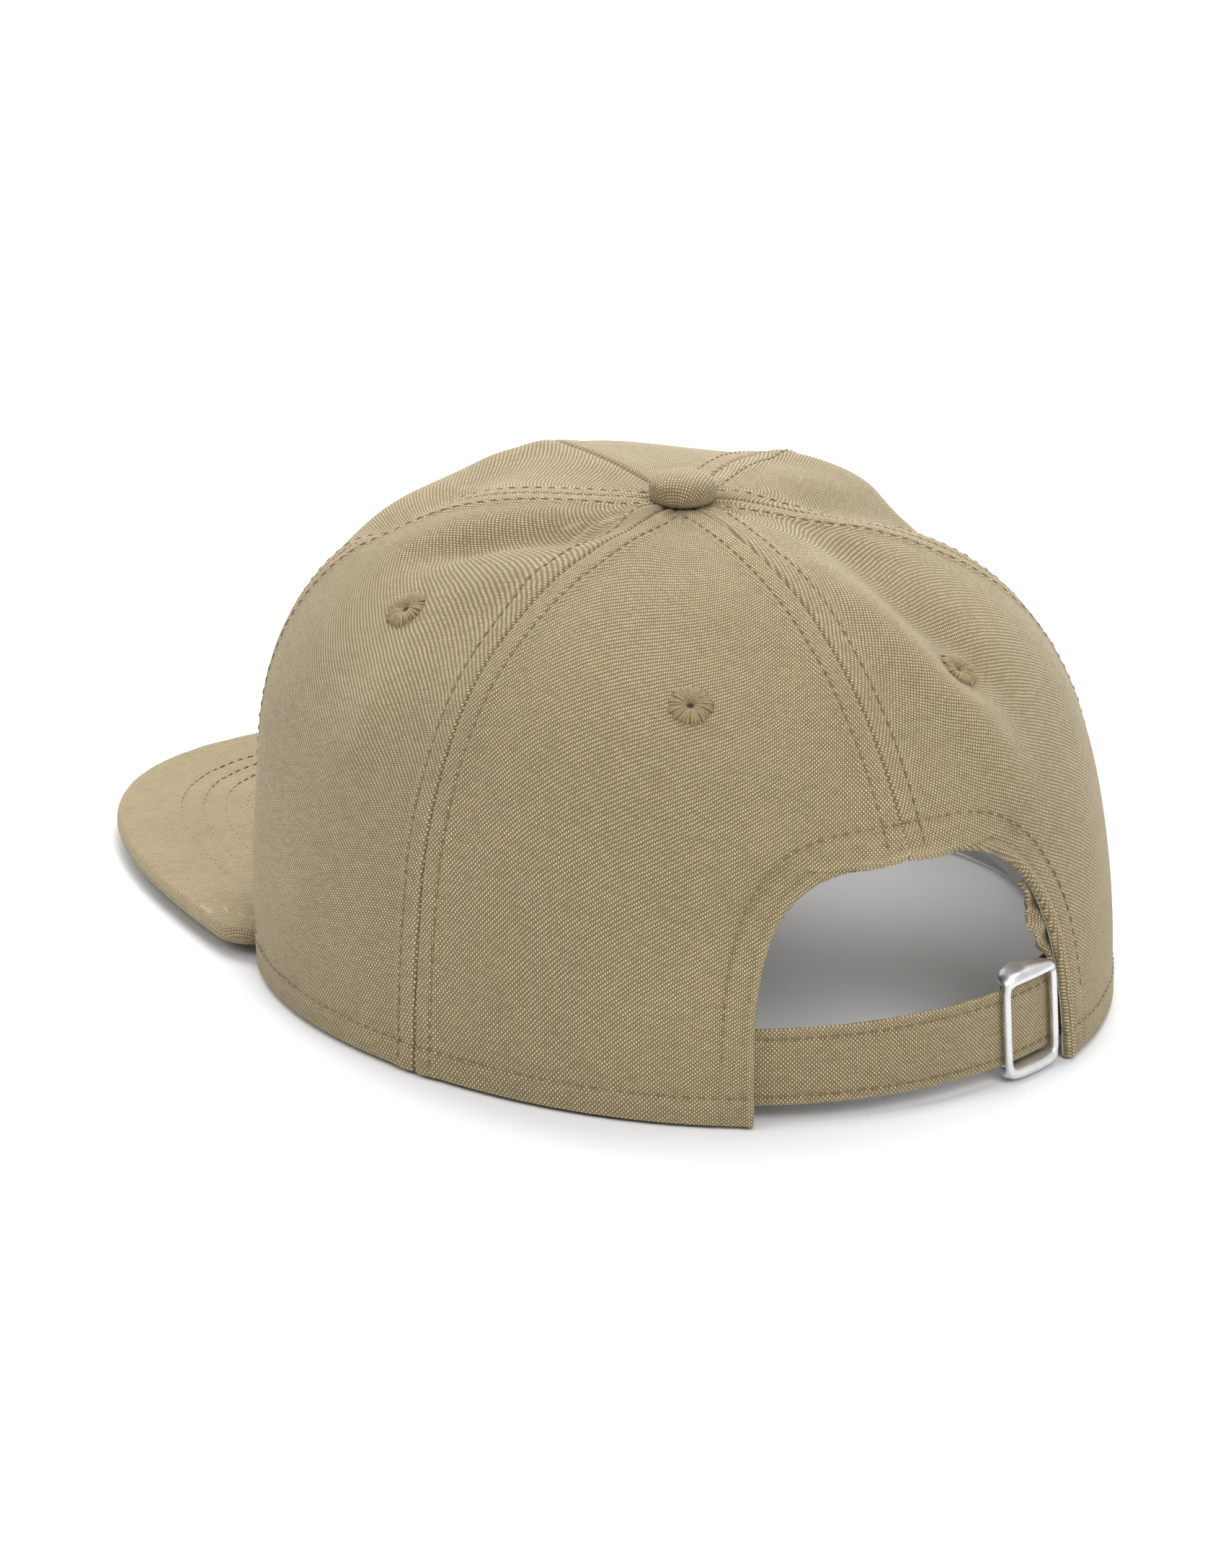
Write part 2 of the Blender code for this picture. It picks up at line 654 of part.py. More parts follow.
def make_buckle():
    pivot = bpy.data.objects.new("buckle_pivot", None)
    bpy.context.scene.collection.objects.link(pivot)
    pivot.matrix_world = buckle_frame()
    sagitta = BUCKLE_HALF_WIDTH**2 / 2 / STRAP_RADIUS
    bar_out = bar_depth() - sagitta + BAR_CLEARANCE + BAR_RADIUS
    inner = BUCKLE_HALF_HEIGHT - BRIDGE_THICKNESS
    buckle = bridge("slide_buckle", inner, BUCKLE_HALF_HEIGHT, bar_out)
    low_bridge = bridge("buckle_low_bridge", -BUCKLE_HALF_HEIGHT, -inner, bar_out)
    reach = inner + 0.6 * BRIDGE_THICKNESS
    rods = [
        bar("buckle_centre_bar", 0.0, 0.0, reach),
        bar("buckle_left_bar", -BUCKLE_HALF_WIDTH, bar_out, reach),
        bar("buckle_right_bar", BUCKLE_HALF_WIDTH, bar_out, reach),
    ]
    for other in (*rods, low_bridge):
        other.parent = pivot
        combine(buckle, other, "UNION")
    buckle.parent = pivot
    finish(buckle, STEEL, 0.3, 1.0)


def make_tab(axis):
    """A strip doubled round the centre bar, with both ends running back behind the right rear panel."""
    centre = bar_depth()
    inner_radius = BAR_RADIUS + TAB_LOOSENESS
    outer_radius = inner_radius + TAB_THICKNESS
    steps = 7
    profile = []
    for radius, order in ((outer_radius, 1), (inner_radius, -1)):
        bend = []
        for i in range(9):
            turn = math.radians(-90 - 180 * i / 8)
            angle = BUCKLE_ANGLE + math.degrees(radius * math.cos(turn) / (STRAP_RADIUS - centre))
            bend.append((angle, centre + radius * math.sin(turn)))
        angles = spread(BUCKLE_ANGLE, TAB_END_ANGLE, steps) + [TAB_END_ANGLE]
        near = [(angle, centre - radius) for angle in reversed(angles)]
        far = [(angle, centre + radius) for angle in angles]
        profile += (near + bend + far)[::order]
    count = len(profile)
    points = []
    for height in (BUCKLE_CENTRE_HEIGHT - TAB_HALF_WIDTH, BUCKLE_CENTRE_HEIGHT + TAB_HALF_WIDTH):
        points += [strap_point(angle, depth, height) for angle, depth in profile]
    half = count // 2
    faces = [(i, (i + 1) % count, (i + 1) % count + count, i + count) for i in range(count)]
    for layer in (0, count):
        for i in range(half - 1):
            mirror = count - 1 - i
            faces.append((i + layer, i + 1 + layer, mirror - 1 + layer, mirror + layer))
    tab = new_object("buckle_tab", points, faces)
    tab.parent = axis
    finish(tab, CANVAS, 0.92)


def make_cap():
    clear_scene()
    make_panels()
    make_buckram()
    make_seam_tapes()
    make_arch_facing()
    make_sweatband()
    make_brim()
    make_eyelets()
    make_button()
    axis = adjuster_axis()
    make_strap(axis)
    make_buckle()
    make_tab(axis)


make_cap()
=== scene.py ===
"""Looks for a six-panel canvas cap with a flat brim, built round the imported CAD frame.

Lengths are millimetres until a mesh is made. Angles round the crown are degrees from the front seam towards
the wearer's left; t runs up a crown profile from the lower edge (0) to the apex (1).
"""

import json
import math

import bmesh
import bpy
import numpy as np
from mathutils import Matrix, Vector


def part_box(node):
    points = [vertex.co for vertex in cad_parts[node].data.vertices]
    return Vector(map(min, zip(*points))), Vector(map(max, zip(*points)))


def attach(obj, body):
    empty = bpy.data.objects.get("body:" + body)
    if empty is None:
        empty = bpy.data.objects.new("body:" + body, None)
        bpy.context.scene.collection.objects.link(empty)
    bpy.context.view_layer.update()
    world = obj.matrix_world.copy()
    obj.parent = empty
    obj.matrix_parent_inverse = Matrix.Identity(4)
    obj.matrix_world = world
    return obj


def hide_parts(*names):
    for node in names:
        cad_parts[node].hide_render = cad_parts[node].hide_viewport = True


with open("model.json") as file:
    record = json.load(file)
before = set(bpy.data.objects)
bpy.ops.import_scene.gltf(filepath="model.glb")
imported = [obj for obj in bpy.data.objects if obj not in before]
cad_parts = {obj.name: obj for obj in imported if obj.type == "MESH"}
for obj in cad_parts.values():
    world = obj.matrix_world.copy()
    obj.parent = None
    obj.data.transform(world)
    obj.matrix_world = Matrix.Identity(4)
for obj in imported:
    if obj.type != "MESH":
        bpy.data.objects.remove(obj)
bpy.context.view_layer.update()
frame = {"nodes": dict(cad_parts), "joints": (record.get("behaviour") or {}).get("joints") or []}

MM = 0.001


def node_box(node):
    """Lowest and highest corner of a CAD node, in millimetres."""
    low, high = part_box(node)
    return np.array(low) / MM, np.array(high) / MM


# --- Shape of the crown, as in the CAD model ---

BUTTON_LOW, BUTTON_HIGH = node_box("button_cover")
CROWN_AXIS_Y = float(BUTTON_LOW[1] + BUTTON_HIGH[1]) / 2
BUTTON_RADIUS = float(BUTTON_HIGH[0])
BUTTON_PUFF = 1.3
APEX = 101.5
FRONT_SIDE_SEAM = 52.0
SIDE_REAR_SEAM = 113.0
REAR_SEAM = 180.0
SEAMS = {
    "front_centre": 0.0,
    "front_left": FRONT_SIDE_SEAM,
    "rear_left": SIDE_REAR_SEAM,
    "rear_centre": REAR_SEAM,
    "rear_right": -SIDE_REAR_SEAM,
    "front_right": -FRONT_SIDE_SEAM,
}
STITCHED_SEAMS = {word: seam for word, seam in SEAMS.items() if word != "front_centre"}
PROFILE_ANGLES = (0.0, FRONT_SIDE_SEAM, SIDE_REAR_SEAM, REAR_SEAM)
SEAM_PROFILES = np.array((
    ((89.5, 0.0), (91.0, 69.0), (94.0, 115.0), (36.0, 101.0), (0.0, APEX)),
    ((92.0, 0.0), (93.0, 34.0), (97.0, 89.0), (71.0, 105.0), (0.0, APEX)),
    ((91.0, 0.0), (92.0, 80.0), (74.0, 92.5), (15.0, 103.0), (0.0, APEX)),
    ((105.0, 0.0), (103.0, 27.0), (85.5, 74.0), (66.0, 98.5), (0.0, APEX)),
))
HARMONICS = np.arange(4)
BINOMIALS = np.array((1.0, 4.0, 6.0, 4.0, 1.0))
SEAM_BASIS = np.linalg.inv(np.cos(np.outer(np.radians(PROFILE_ANGLES), HARMONICS)))
PROFILE_WAVES = np.einsum("sk,kpc->spc", SEAM_BASIS, SEAM_PROFILES)

RIM_RAMP = (65.2, 68.8)
BRIM_LIFT = 2.1
RIM_OVER_BRIM = 4.15 + BRIM_LIFT
ARCH_HALF_WIDTH = 40.4
ARCH_HEIGHT = 49.0
ARCH_EXPONENT = 3.66
ARCH_RADIUS = 105.0
ARCH_BEHIND_ANGLE = 110.0
FAR_FROM_ARCH = 1e3
TIP_RADIUS = 3.0
LOWEST_TIP = 0.6
HALVINGS = 30

# --- Cloth and sewing: a roll, groove or bead is (height, half width); a step is (height, start, end) ---

CLOTH = 0.8
HEM_CLOTH = 1.7
ARCH_CLOTH = 2.6
TOPSTITCH = 4.4
HEM_STITCH = 6.0
ARCH_STITCH = 6.8
SEAM_ROLL = (0.9, 0.42)
SEAM_STEP = (0.5, 4.6, 6.4)
FRONT_ROLL = (1.8, 0.5)
FRONT_STEP = (0.3, 3.0, 8.0)
STITCH_GROOVE = (0.35, 0.45)
SEAM_CALM = (1.0, 8.0)
LOW_HEM_STEP = (0.3, 5.4, 7.0)
ARCH_STEP = (0.25, 6.0, 8.0)
ARCH_BEAD_FROM_EDGE = 0.9
ARCH_BEAD = (0.5, 0.9)
ARCH_GROOVE_FROM_EDGE = 2.5
ARCH_GROOVE = (0.4, 0.4)
UNEVEN_HEIGHT = 0.4
UNEVEN_SIZE = 40.0
PUCKER_HEIGHT = 0.07
PUCKER_SIZE = 5.0
PUCKER_REACH = (4.0, 9.0)
GATHERS = 18
GATHER_RADIUS = 9.0
GATHER = (0.22, 4.5)
BUTTON_HOLLOW = (0.7, 9.0)
THREAD_PITCH = 0.46
THREAD_RADIUS = 0.17
STITCH = (2.2, 0.55, THREAD_RADIUS)
BRIM_STITCH = (2.4, 0.6, THREAD_RADIUS)
EYELETS = {
    "side_left": (86.5, 0.568),
    "side_right": (-86.5, 0.568),
    "rear_left": (150.8, 0.532),
    "rear_right": (-153.6, 0.535),
}
EYELET_HOLE = 0.75
EYELET_PUNCH = 2.2
EYELET_HOLD_RADIUS = 6.5

# Soft folds in the crown: a line of (angle, t) points, then half width and height.
FOLDS = {
    "side_left_valley": (((101.0, 0.91), (96.2, 0.85), (91.0, 0.825), (84.0, 0.81), (79.5, 0.785),
                          (76.5, 0.75), (72.8, 0.705), (71.5, 0.64)), 5.8, -4.8),
    "side_left_ridge": (((112.0, 0.68), (108.0, 0.65), (102.5, 0.636), (95.1, 0.605), (91.0, 0.56),
                         (89.0, 0.49)), 7.0, 1.8),
    "side_left_low_ridge": (((96.0, 0.52), (93.5, 0.46), (94.0, 0.40), (94.0, 0.33),
                             (93.0, 0.25)), 7.5, 1.2),
    "side_right_hollow": (((-106.0, 0.86), (-100.0, 0.80), (-94.0, 0.74), (-89.0, 0.66), (-87.0, 0.56),
                           (-86.0, 0.42)), 10.0, -4.2),
    "side_right_rise": (((-52.0, 0.82), (-59.0, 0.77), (-65.0, 0.72), (-70.0, 0.68),
                         (-76.0, 0.60)), 7.0, 2.0),
    "rear_right_valley": (((-127.0, 0.80), (-134.0, 0.74), (-142.0, 0.70), (-149.0, 0.665), (-150.8, 0.615),
                           (-150.1, 0.537), (-148.7, 0.451), (-146.0, 0.37)), 6.3, -2.7),
    "rear_right_ridge": (((-163.0, 0.86), (-166.0, 0.79), (-166.5, 0.72), (-165.5, 0.655), (-162.5, 0.572),
                          (-159.3, 0.50), (-157.8, 0.416), (-156.7, 0.342), (-154.0, 0.25)), 7.0, 2.8),
    "front_left_dip": (((52.0, 0.62), (46.0, 0.70), (39.0, 0.73), (32.0, 0.73), (24.0, 0.70)), 9.0, -3.2),
    "front_rise": (((18.0, 0.63), (12.0, 0.63), (4.0, 0.64), (-6.0, 0.66)), 7.0, 1.2),
    "rear_left_swell": (((138.0, 0.90), (145.0, 0.76), (150.0, 0.60)), 10.0, 0.8),
    "rear_left_low_swell": (((165.0, 0.44), (158.0, 0.34), (148.0, 0.24)), 7.0, 1.0),
    "rear_left_dip": (((167.0, 0.74), (163.0, 0.60), (160.0, 0.46)), 8.0, -0.8),
}


def smoothstep(low, high, value):
    share = np.clip((value - low) / (high - low), 0.0, 1.0)
    return share * share * (3 - 2 * share)


def bell(value, width):
    return np.exp(-((value / width) ** 2))


def ridge(shape, distance):
    """A roll, groove or bead at a distance from its middle."""
    height, width = shape
    return height * bell(distance, width)


def ledge(shape, distance):
    """A step that is full height near an edge and gone further in."""
    height, start, end = shape
    return height * (1 - smoothstep(start, end, distance))


def unit(vectors):
    return vectors / np.linalg.norm(vectors, axis=-1, keepdims=True)


def travelled(points):
    """Distance along a run of points at each of them."""
    return np.concatenate(([0.0], np.cumsum(np.linalg.norm(np.diff(points, axis=0), axis=1))))


def superellipse(turns, exponent):
    """The two coordinates of a unit superellipse at each turn."""
    cosine, sine = np.cos(turns), np.sin(turns)
    power = 2 / exponent
    return np.sign(cosine) * np.abs(cosine) ** power, np.sign(sine) * np.abs(sine) ** power


def crown_section(angle, t):
    """Radius and height of the bare crown surface."""
    waves = np.cos(np.multiply.outer(HARMONICS, np.radians(angle)))
    powers = np.arange(len(BINOMIALS)).reshape((-1,) + (1,) * np.ndim(t))
    basis = BINOMIALS.reshape(powers.shape) * t**powers * (1 - t) ** (4 - powers)
    section = np.einsum("s...,spc,p...->c...", waves, PROFILE_WAVES, basis)
    return section[0], section[1]


def bare_point(angle, t):
    radius, height = crown_section(angle, t)
    turn = np.radians(angle)
    return np.stack((radius * np.sin(turn), CROWN_AXIS_Y - radius * np.cos(turn), height), axis=-1)


def bare_normal(angle, t):
    step = 0.5
    rise = 0.004
    around = bare_point(angle + step, t) - bare_point(angle - step, t)
    upward = bare_point(angle, np.minimum(t + rise, 0.999)) - bare_point(angle, np.maximum(t - rise, 0.0))
    return unit(np.cross(around, upward))


def off_crown(angle, t, distance):
    """Points a distance outside the bare crown surface."""
    return bare_point(angle, t) + bare_normal(angle, t) * np.expand_dims(distance, -1)


def turn_between(angle, other):
    return (angle - other + 180.0) % 360.0 - 180.0


def rim_height(angle):
    return RIM_OVER_BRIM * (1 - smoothstep(*RIM_RAMP, np.abs(angle)))


def rim_distance(angle, t):
    """Height above the crown's lower edge."""
    return crown_section(angle, t)[1] - rim_height(turn_between(angle, 0.0))


def solve_t(angle, target, low, high, beyond):
    """The parameter between low and high from which beyond(section, target) is true, by bisection."""
    angle, target = np.broadcast_arrays(np.asarray(angle, float), np.asarray(target, float))
    low = np.full(angle.shape, low)
    high = np.full(angle.shape, high)
    for _ in range(HALVINGS):
        middle = (low + high) / 2
        past = beyond(crown_section(angle, middle), target)
        high = np.where(past, middle, high)
        low = np.where(past, low, middle)
    return (low + high) / 2


def level(angle, height):
    """The parameter at which the crown reaches a height."""
    return solve_t(angle, height, 0.0, LOWEST_TIP, lambda section, aim: section[1] > aim)


def tip(angle, radius):
    """The parameter near the apex at which the crown narrows to a radius."""
    return solve_t(angle, radius, LOWEST_TIP, 1.0, lambda section, aim: section[0] <= aim)


def seam_distance(angle, t, seam):
    radius, _ = crown_section(angle, t)
    return radius * np.sin(np.radians(np.minimum(np.abs(turn_between(angle, seam)), 90.0)))


def round_arch(turns, margin=0.0):
    """(angle, t) of points on the rear arch's outline, or a margin outside it."""
    across, rise = superellipse(turns, ARCH_EXPONENT)
    angle = REAR_SEAM - np.degrees(across * (ARCH_HALF_WIDTH + margin) / ARCH_RADIUS)
    return angle, level(angle, rise * (ARCH_HEIGHT + margin))


def arch_distance(angle, t):
    """Distance outside the rear arch's outline, or a long way off on the front half."""
    _, height = crown_section(angle, t)
    along = np.radians(180.0 - np.abs(turn_between(angle, 0.0))) * ARCH_RADIUS
    power = ARCH_EXPONENT
    along = np.maximum(along, 1e-3)
    height = np.maximum(height, 1e-3)
    size = ((along / ARCH_HALF_WIDTH) ** power + (height / ARCH_HEIGHT) ** power) ** (1 / power)
    slope_along = along ** (power - 1) / ARCH_HALF_WIDTH**power
    slope_height = height ** (power - 1) / ARCH_HEIGHT**power
    steepness = size ** (1 - power) * np.hypot(slope_along, slope_height)
    behind = np.abs(turn_between(angle, 0.0)) > ARCH_BEHIND_ANGLE
    return np.where(behind, (size - 1) / steepness, FAR_FROM_ARCH)


def waviness(points, size, seed):
    """A smooth, repeatable random height made of a few plane waves."""
    source = np.random.RandomState(seed)
    total = np.zeros(points.shape[:-1])
    for _ in range(9):
        direction = source.normal(size=3)
        direction *= source.uniform(0.6, 1.7) / np.linalg.norm(direction)
        total += np.sin(points @ direction * (2 * math.pi / size) + source.uniform(0, 2 * math.pi))
    return total / 4.5


def fold_strength(points, path, width):
    """How strongly a fold acts on points: 1 on its line, fading across it and towards its ends."""
    corners = bare_point(*np.array(path).T)
    starts = travelled(corners)
    strength = np.zeros(points.shape[:-1])
    for corner, following, start, step in zip(corners, corners[1:], starts, np.diff(starts)):
        share = np.clip((points - corner) @ (following - corner) / step**2, 0.0, 1.0)
        distance = np.linalg.norm(points - corner - share[..., None] * (following - corner), axis=-1)
        along = (start + share * step) / starts[-1]
        fade = smoothstep(0.0, 0.3, along) * (1 - smoothstep(0.65, 1.0, along))
        strength = np.maximum(strength, bell(distance, width) * fade)
    return strength


def free_fold_height(angle, t):
    """The large soft folds and a slight unevenness."""
    points = bare_point(angle, t)
    total = UNEVEN_HEIGHT * waviness(points, UNEVEN_SIZE, 3) * smoothstep(0.0, 0.2, t)
    for path, width, height in FOLDS.values():
        total = total + height * fold_strength(points, path, width)
    return total


EYELET_PLACES = [np.array(place) for place in EYELETS.values()]
EYELET_HOLD = [(bare_point(*place), free_fold_height(*place)) for place in EYELET_PLACES]


def fold_height(angle, t):
    """The folds, which the lining follows too; the stitching holds the cloth level round each eyelet."""
    points = bare_point(angle, t)
    total = free_fold_height(angle, t)
    for centre, rest in EYELET_HOLD:
        hold = bell(np.linalg.norm(points - centre, axis=-1), EYELET_HOLD_RADIUS)
        total = total + (rest - total) * hold
    return total


def seam_height(angle, t):
    """Rolled seam edges, the felled allowance beside them, and the topstitching's grooves."""
    distance = seam_distance(angle, t, SEAMS["front_centre"])
    roll = ridge(FRONT_ROLL, distance)
    raised = ledge(FRONT_STEP, distance)
    groove = 0.0
    for seam in STITCHED_SEAMS.values():
        distance = seam_distance(angle, t, seam)
        roll = np.maximum(roll, ridge(SEAM_ROLL, distance))
        raised = np.maximum(raised, ledge(SEAM_STEP, distance))
        groove = np.maximum(groove, ridge(STITCH_GROOVE, distance - TOPSTITCH))
    return (raised - roll - groove) * smoothstep(*SEAM_CALM, arch_distance(angle, t))


def round_over(distance, radius):
    """How far a rounded edge falls below the face at a distance from the edge."""
    share = np.clip(1 - distance / radius, 0.0, 1.0)
    return radius * (1 - np.sqrt(np.clip(1 - share * share, 0.0, 1.0)))


def edge_drop(angle, t):
    """How far the rounded hems fall away at the lower edge and at the arch."""
    lower = round_over(rim_distance(angle, t), HEM_CLOTH / 2)
    return np.maximum(lower, round_over(arch_distance(angle, t), ARCH_CLOTH / 2))


def hem_height(angle, t):
    """Folded hems along the lower edge and round the arch."""
    stitched = smoothstep(RIM_RAMP[0] - 2, RIM_RAMP[1], np.abs(turn_between(angle, 0.0)))
    arch = arch_distance(angle, t)
    lower = rim_distance(angle, t)
    puff = ledge(LOW_HEM_STEP, lower) * stitched
    bead = ridge(ARCH_BEAD, arch - ARCH_BEAD_FROM_EDGE) + ledge(ARCH_STEP, arch)
    bead = bead - ridge(ARCH_GROOVE, arch - ARCH_GROOVE_FROM_EDGE)
    rows = np.maximum(ridge(STITCH_GROOVE, lower - HEM_STITCH), ridge(STITCH_GROOVE, arch - ARCH_STITCH))
    return np.maximum(puff, bead) - rows * stitched - edge_drop(angle, t)


def gather_height(angle, t):
    """Small gathers where the panels run in under the button, and the hollow that it pulls in."""
    radius, _ = crown_section(angle, t)
    ripple = np.cos(np.radians(angle) * GATHERS + 0.6 * np.sin(np.radians(angle) * 5))
    return ripple * ridge(GATHER, radius - GATHER_RADIUS) - ridge(BUTTON_HOLLOW, radius)


def cloth_height(angle, t):
    total = fold_height(angle, t) + seam_height(angle, t) + hem_height(angle, t) + gather_height(angle, t)
    pucker = PUCKER_HEIGHT * waviness(bare_point(angle, t), PUCKER_SIZE, 8)
    nearest = np.min([seam_distance(angle, t, seam) for seam in STITCHED_SEAMS.values()], axis=0)
    return total + pucker * (1 - smoothstep(*PUCKER_REACH, nearest))


def lining_point(angle, t, depth):
    """A point under the panels: it follows the folds but not the sewing."""
    return off_crown(angle, t, fold_height(angle, t) - depth)


# --- Meshes ---

def signed_volume(mesh):
    """Negative when a closed mesh is inside out."""
    shape = bmesh.new()
    shape.from_mesh(mesh)
    volume = shape.calc_volume(signed=True)
    shape.free()
    return volume


def new_piece(name, points, faces, weave=None, sharp=50.0):
    """A smooth object from points in millimetres; weave holds each point's place in the cloth."""
    mesh = bpy.data.meshes.new(name)
    mesh.from_pydata((np.asarray(points, float) * MM).tolist(), [], faces)
    mesh.validate()
    if signed_volume(mesh) < 0:
        mesh.flip_normals()
    if weave is not None:
        corners = np.empty(len(mesh.loops), np.int32)
        mesh.loops.foreach_get("vertex_index", corners)
        layer = mesh.uv_layers.new(name="weave")
        layer.uv.foreach_set("vector", np.asarray(weave, np.float32)[corners].ravel())
    mesh.shade_smooth()
    mesh.set_sharp_from_angle(angle=math.radians(sharp))
    piece = bpy.data.objects.new(name, mesh)
    bpy.context.scene.collection.objects.link(piece)
    return piece


def thick_grid(outer, inner, keep=None):
    """Points and faces of a closed slab between two matching grids; keep marks the cells that stay."""
    width, height = outer.shape[:2]
    count = width * height
    if keep is None:
        keep = np.ones((width - 1, height - 1), bool)
    index = np.arange(count).reshape(width, height)
    faces = []
    for i, j in zip(*np.nonzero(keep)):
        a, b, c, d = index[i, j], index[i + 1, j], index[i + 1, j + 1], index[i, j + 1]
        faces.append((a, b, c, d))
        faces.append((d + count, c + count, b + count, a + count))
        neighbours = (((i, j - 1), a, b), ((i + 1, j), b, c), ((i, j + 1), c, d), ((i - 1, j), d, a))
        for (m, n), first, second in neighbours:
            if not (0 <= m < width - 1 and 0 <= n < height - 1 and keep[m, n]):
                faces.append((second, first, first + count, second + count))
    points = np.concatenate((outer.reshape(-1, 3), inner.reshape(-1, 3)))
    used = np.unique(np.array([corner for face in faces for corner in face]))
    renumber = np.full(len(points), -1)
    renumber[used] = np.arange(len(used))
    faces = [tuple(int(renumber[corner]) for corner in face) for face in faces]
    return points[used], faces, used


def sheet(name, outer, inner, across, upward, keep=None, sharp=50.0):
    """A closed piece of cloth between two grids; across and upward are each point's place in the weave."""
    points, faces, used = thick_grid(outer, inner, keep)
    weave = np.stack(np.broadcast_arrays(across, upward), axis=-1).reshape(-1, 2)
    return new_piece(name, points, faces, np.concatenate((weave, weave))[used], sharp)


def grid_travelled(grid, axis):
    """Distance travelled along one direction of a grid of points."""
    steps = np.diff(grid, axis=axis, prepend=np.take(grid, [0], axis=axis))
    return np.cumsum(np.linalg.norm(steps, axis=-1), axis=axis)


def ring_faces(stations, ring):
    """Faces of a closed tube that runs round into itself."""
    faces = []
    for i in range(stations):
        k = (i + 1) % stations
        for j in range(ring):
            m = (j + 1) % ring
            faces.append((i * ring + j, i * ring + m, k * ring + m, k * ring + j))
    return faces


def dress(piece, material):
    piece.data.materials.clear()
    piece.data.materials.append(material)
    return piece


def place_piece(piece, material, slot, *nodes, body="crown"):
    """Gives a piece its material and its body, and hides the CAD nodes that it stands for; the slot is not
    used.
    """
    dress(piece, material)
    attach(piece, body)
    if nodes:
        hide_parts(*nodes)


def edge_fractions(length, zone, fine, coarse, both=True):
    """Fractions along a length: fine steps inside the zones at its ends, coarse steps between."""
    share = min(zone / length, 0.42)
    start = np.linspace(0.0, 1.0, fine, endpoint=False) ** 1.4 * share
    if both:
        middle = np.linspace(share, 1 - share, coarse, endpoint=False)
        return np.concatenate((start, middle, [1 - share], 1 - start[::-1]))
    return np.concatenate((start, np.linspace(share, 1.0, coarse + 1)))


def profile_table(angle, count=400):
    """Parameters and lengths up a crown profile."""
    t = np.linspace(0.0, 1.0, count)
    return t, travelled(bare_point(np.full(count, float(angle)), t))


EDGE_ZONE = 10.0
SEAM_ZONE = 9.0
PANEL_COLUMNS = (18, 36)
PANEL_ROWS = (16, 100)


def arch_boundary(rows):
    """Angle and t up the rear panel's far side: round the arch, then up the rear seam."""
    arch_angle, arch_t = round_arch(np.radians(np.linspace(0.0, 90.0, 600)))
    seam_t = np.linspace(arch_t[-1], float(tip(REAR_SEAM, TIP_RADIUS)), 400)[1:]
    angle = np.concatenate((arch_angle, np.full(len(seam_t), REAR_SEAM)))
    t = np.concatenate((arch_t, seam_t))
    length = travelled(bare_point(angle, t))
    where = edge_fractions(length[-1], EDGE_ZONE, *rows, both=False) * length[-1]
    return np.interp(where, length, angle), np.interp(where, length, t)


def seam_boundary(angle, rows):
    """Angle and t up a panel's side along a seam."""
    t, length = profile_table(angle)
    limits = (float(level(angle, rim_height(angle))), float(tip(angle, TIP_RADIUS)))
    start, stop = np.interp(limits, t, length)
    where = start + edge_fractions(stop - start, EDGE_ZONE, *rows, both=False) * (stop - start)
    return np.full(len(where), float(angle)), np.interp(where, length, t)


def panel_cells(start, end, columns, rows):
    """(angle, t) of a panel's grid; the first column is on the seam nearer the front."""
    side = 1.0 if end > 0 else -1.0
    at_rear = abs(end) == REAR_SEAM
    first = seam_boundary(abs(start), rows)
    last = arch_boundary(rows) if at_rear else seam_boundary(abs(end), rows)
    angles = []
    heights = []
    for a, b, c, d in zip(*first, *last):
        radius, _ = crown_section(np.array((a + c) / 2), np.array((b + d) / 2))
        shares = edge_fractions(math.radians(c - a) * float(radius), SEAM_ZONE, *columns)
        angles.append(a + (c - a) * shares)
        heights.append(b + (d - b) * shares)
    angle = np.array(angles).T
    t = np.array(heights).T
    return side * angle, t if at_rear else follow_rim(angle, t)


def follow_rim(angle, t):
    """Moves a panel's lowest row onto the rim, and the rows above it in proportion."""
    low = level(angle[:, :1], rim_height(angle[:, :1]))
    share = (t - t[:, :1]) / (t[:, -1:] - t[:, :1])
    return low + (t[:, -1:] - low) * share


def hem_thickness(angle, t):
    """The cloth's thickness: doubled in the hems, with rounded edges."""
    low_fold = ledge((HEM_CLOTH - CLOTH, 5.0, 7.0), rim_distance(angle, t))
    arch_fold = ledge((ARCH_CLOTH - CLOTH, 4.5, 7.5), arch_distance(angle, t))
    return CLOTH + np.maximum(low_fold, arch_fold) - 1.85 * edge_drop(angle, t)


def panel_weave(angle, t, middle):
    """Cloth coordinates: across from the panel's centre line, and up along it."""
    radius, _ = crown_section(angle, t)
    across = np.radians(turn_between(angle, middle)) * radius
    return across, np.interp(t, *profile_table(middle))


def make_panel(name, start, end, canvas):
    """One crown panel with its hems and seam edges, punched where it has an eyelet."""
    angle, t = panel_cells(start, end, PANEL_COLUMNS, PANEL_ROWS)
    height = cloth_height(angle, t)
    normal = bare_normal(angle, t)
    outer = off_crown(angle, t, height)
    inner = outer - normal * hem_thickness(angle, t)[..., None]
    keep = None
    if name in EYELETS:
        middle = (outer[1:, 1:] + outer[:-1, :-1]) / 2
        keep = np.linalg.norm(middle - bare_point(*map(np.array, EYELETS[name])), axis=-1) > EYELET_PUNCH
    piece = sheet(f"cloth_{name}", outer, inner, *panel_weave(angle, t, (start + end) / 2), keep=keep)
    place_piece(piece, canvas, "canvas", f"crown_panel_{name}")


# --- Materials ---

YARN_WANDER = 0.09
YARN_STRETCH = 0.13
YARN_SIZE = 1.7


def node_of(tree, kind, **settings):
    node = tree.nodes.new(kind)
    for key, value in settings.items():
        setattr(node, key, value)
    return node


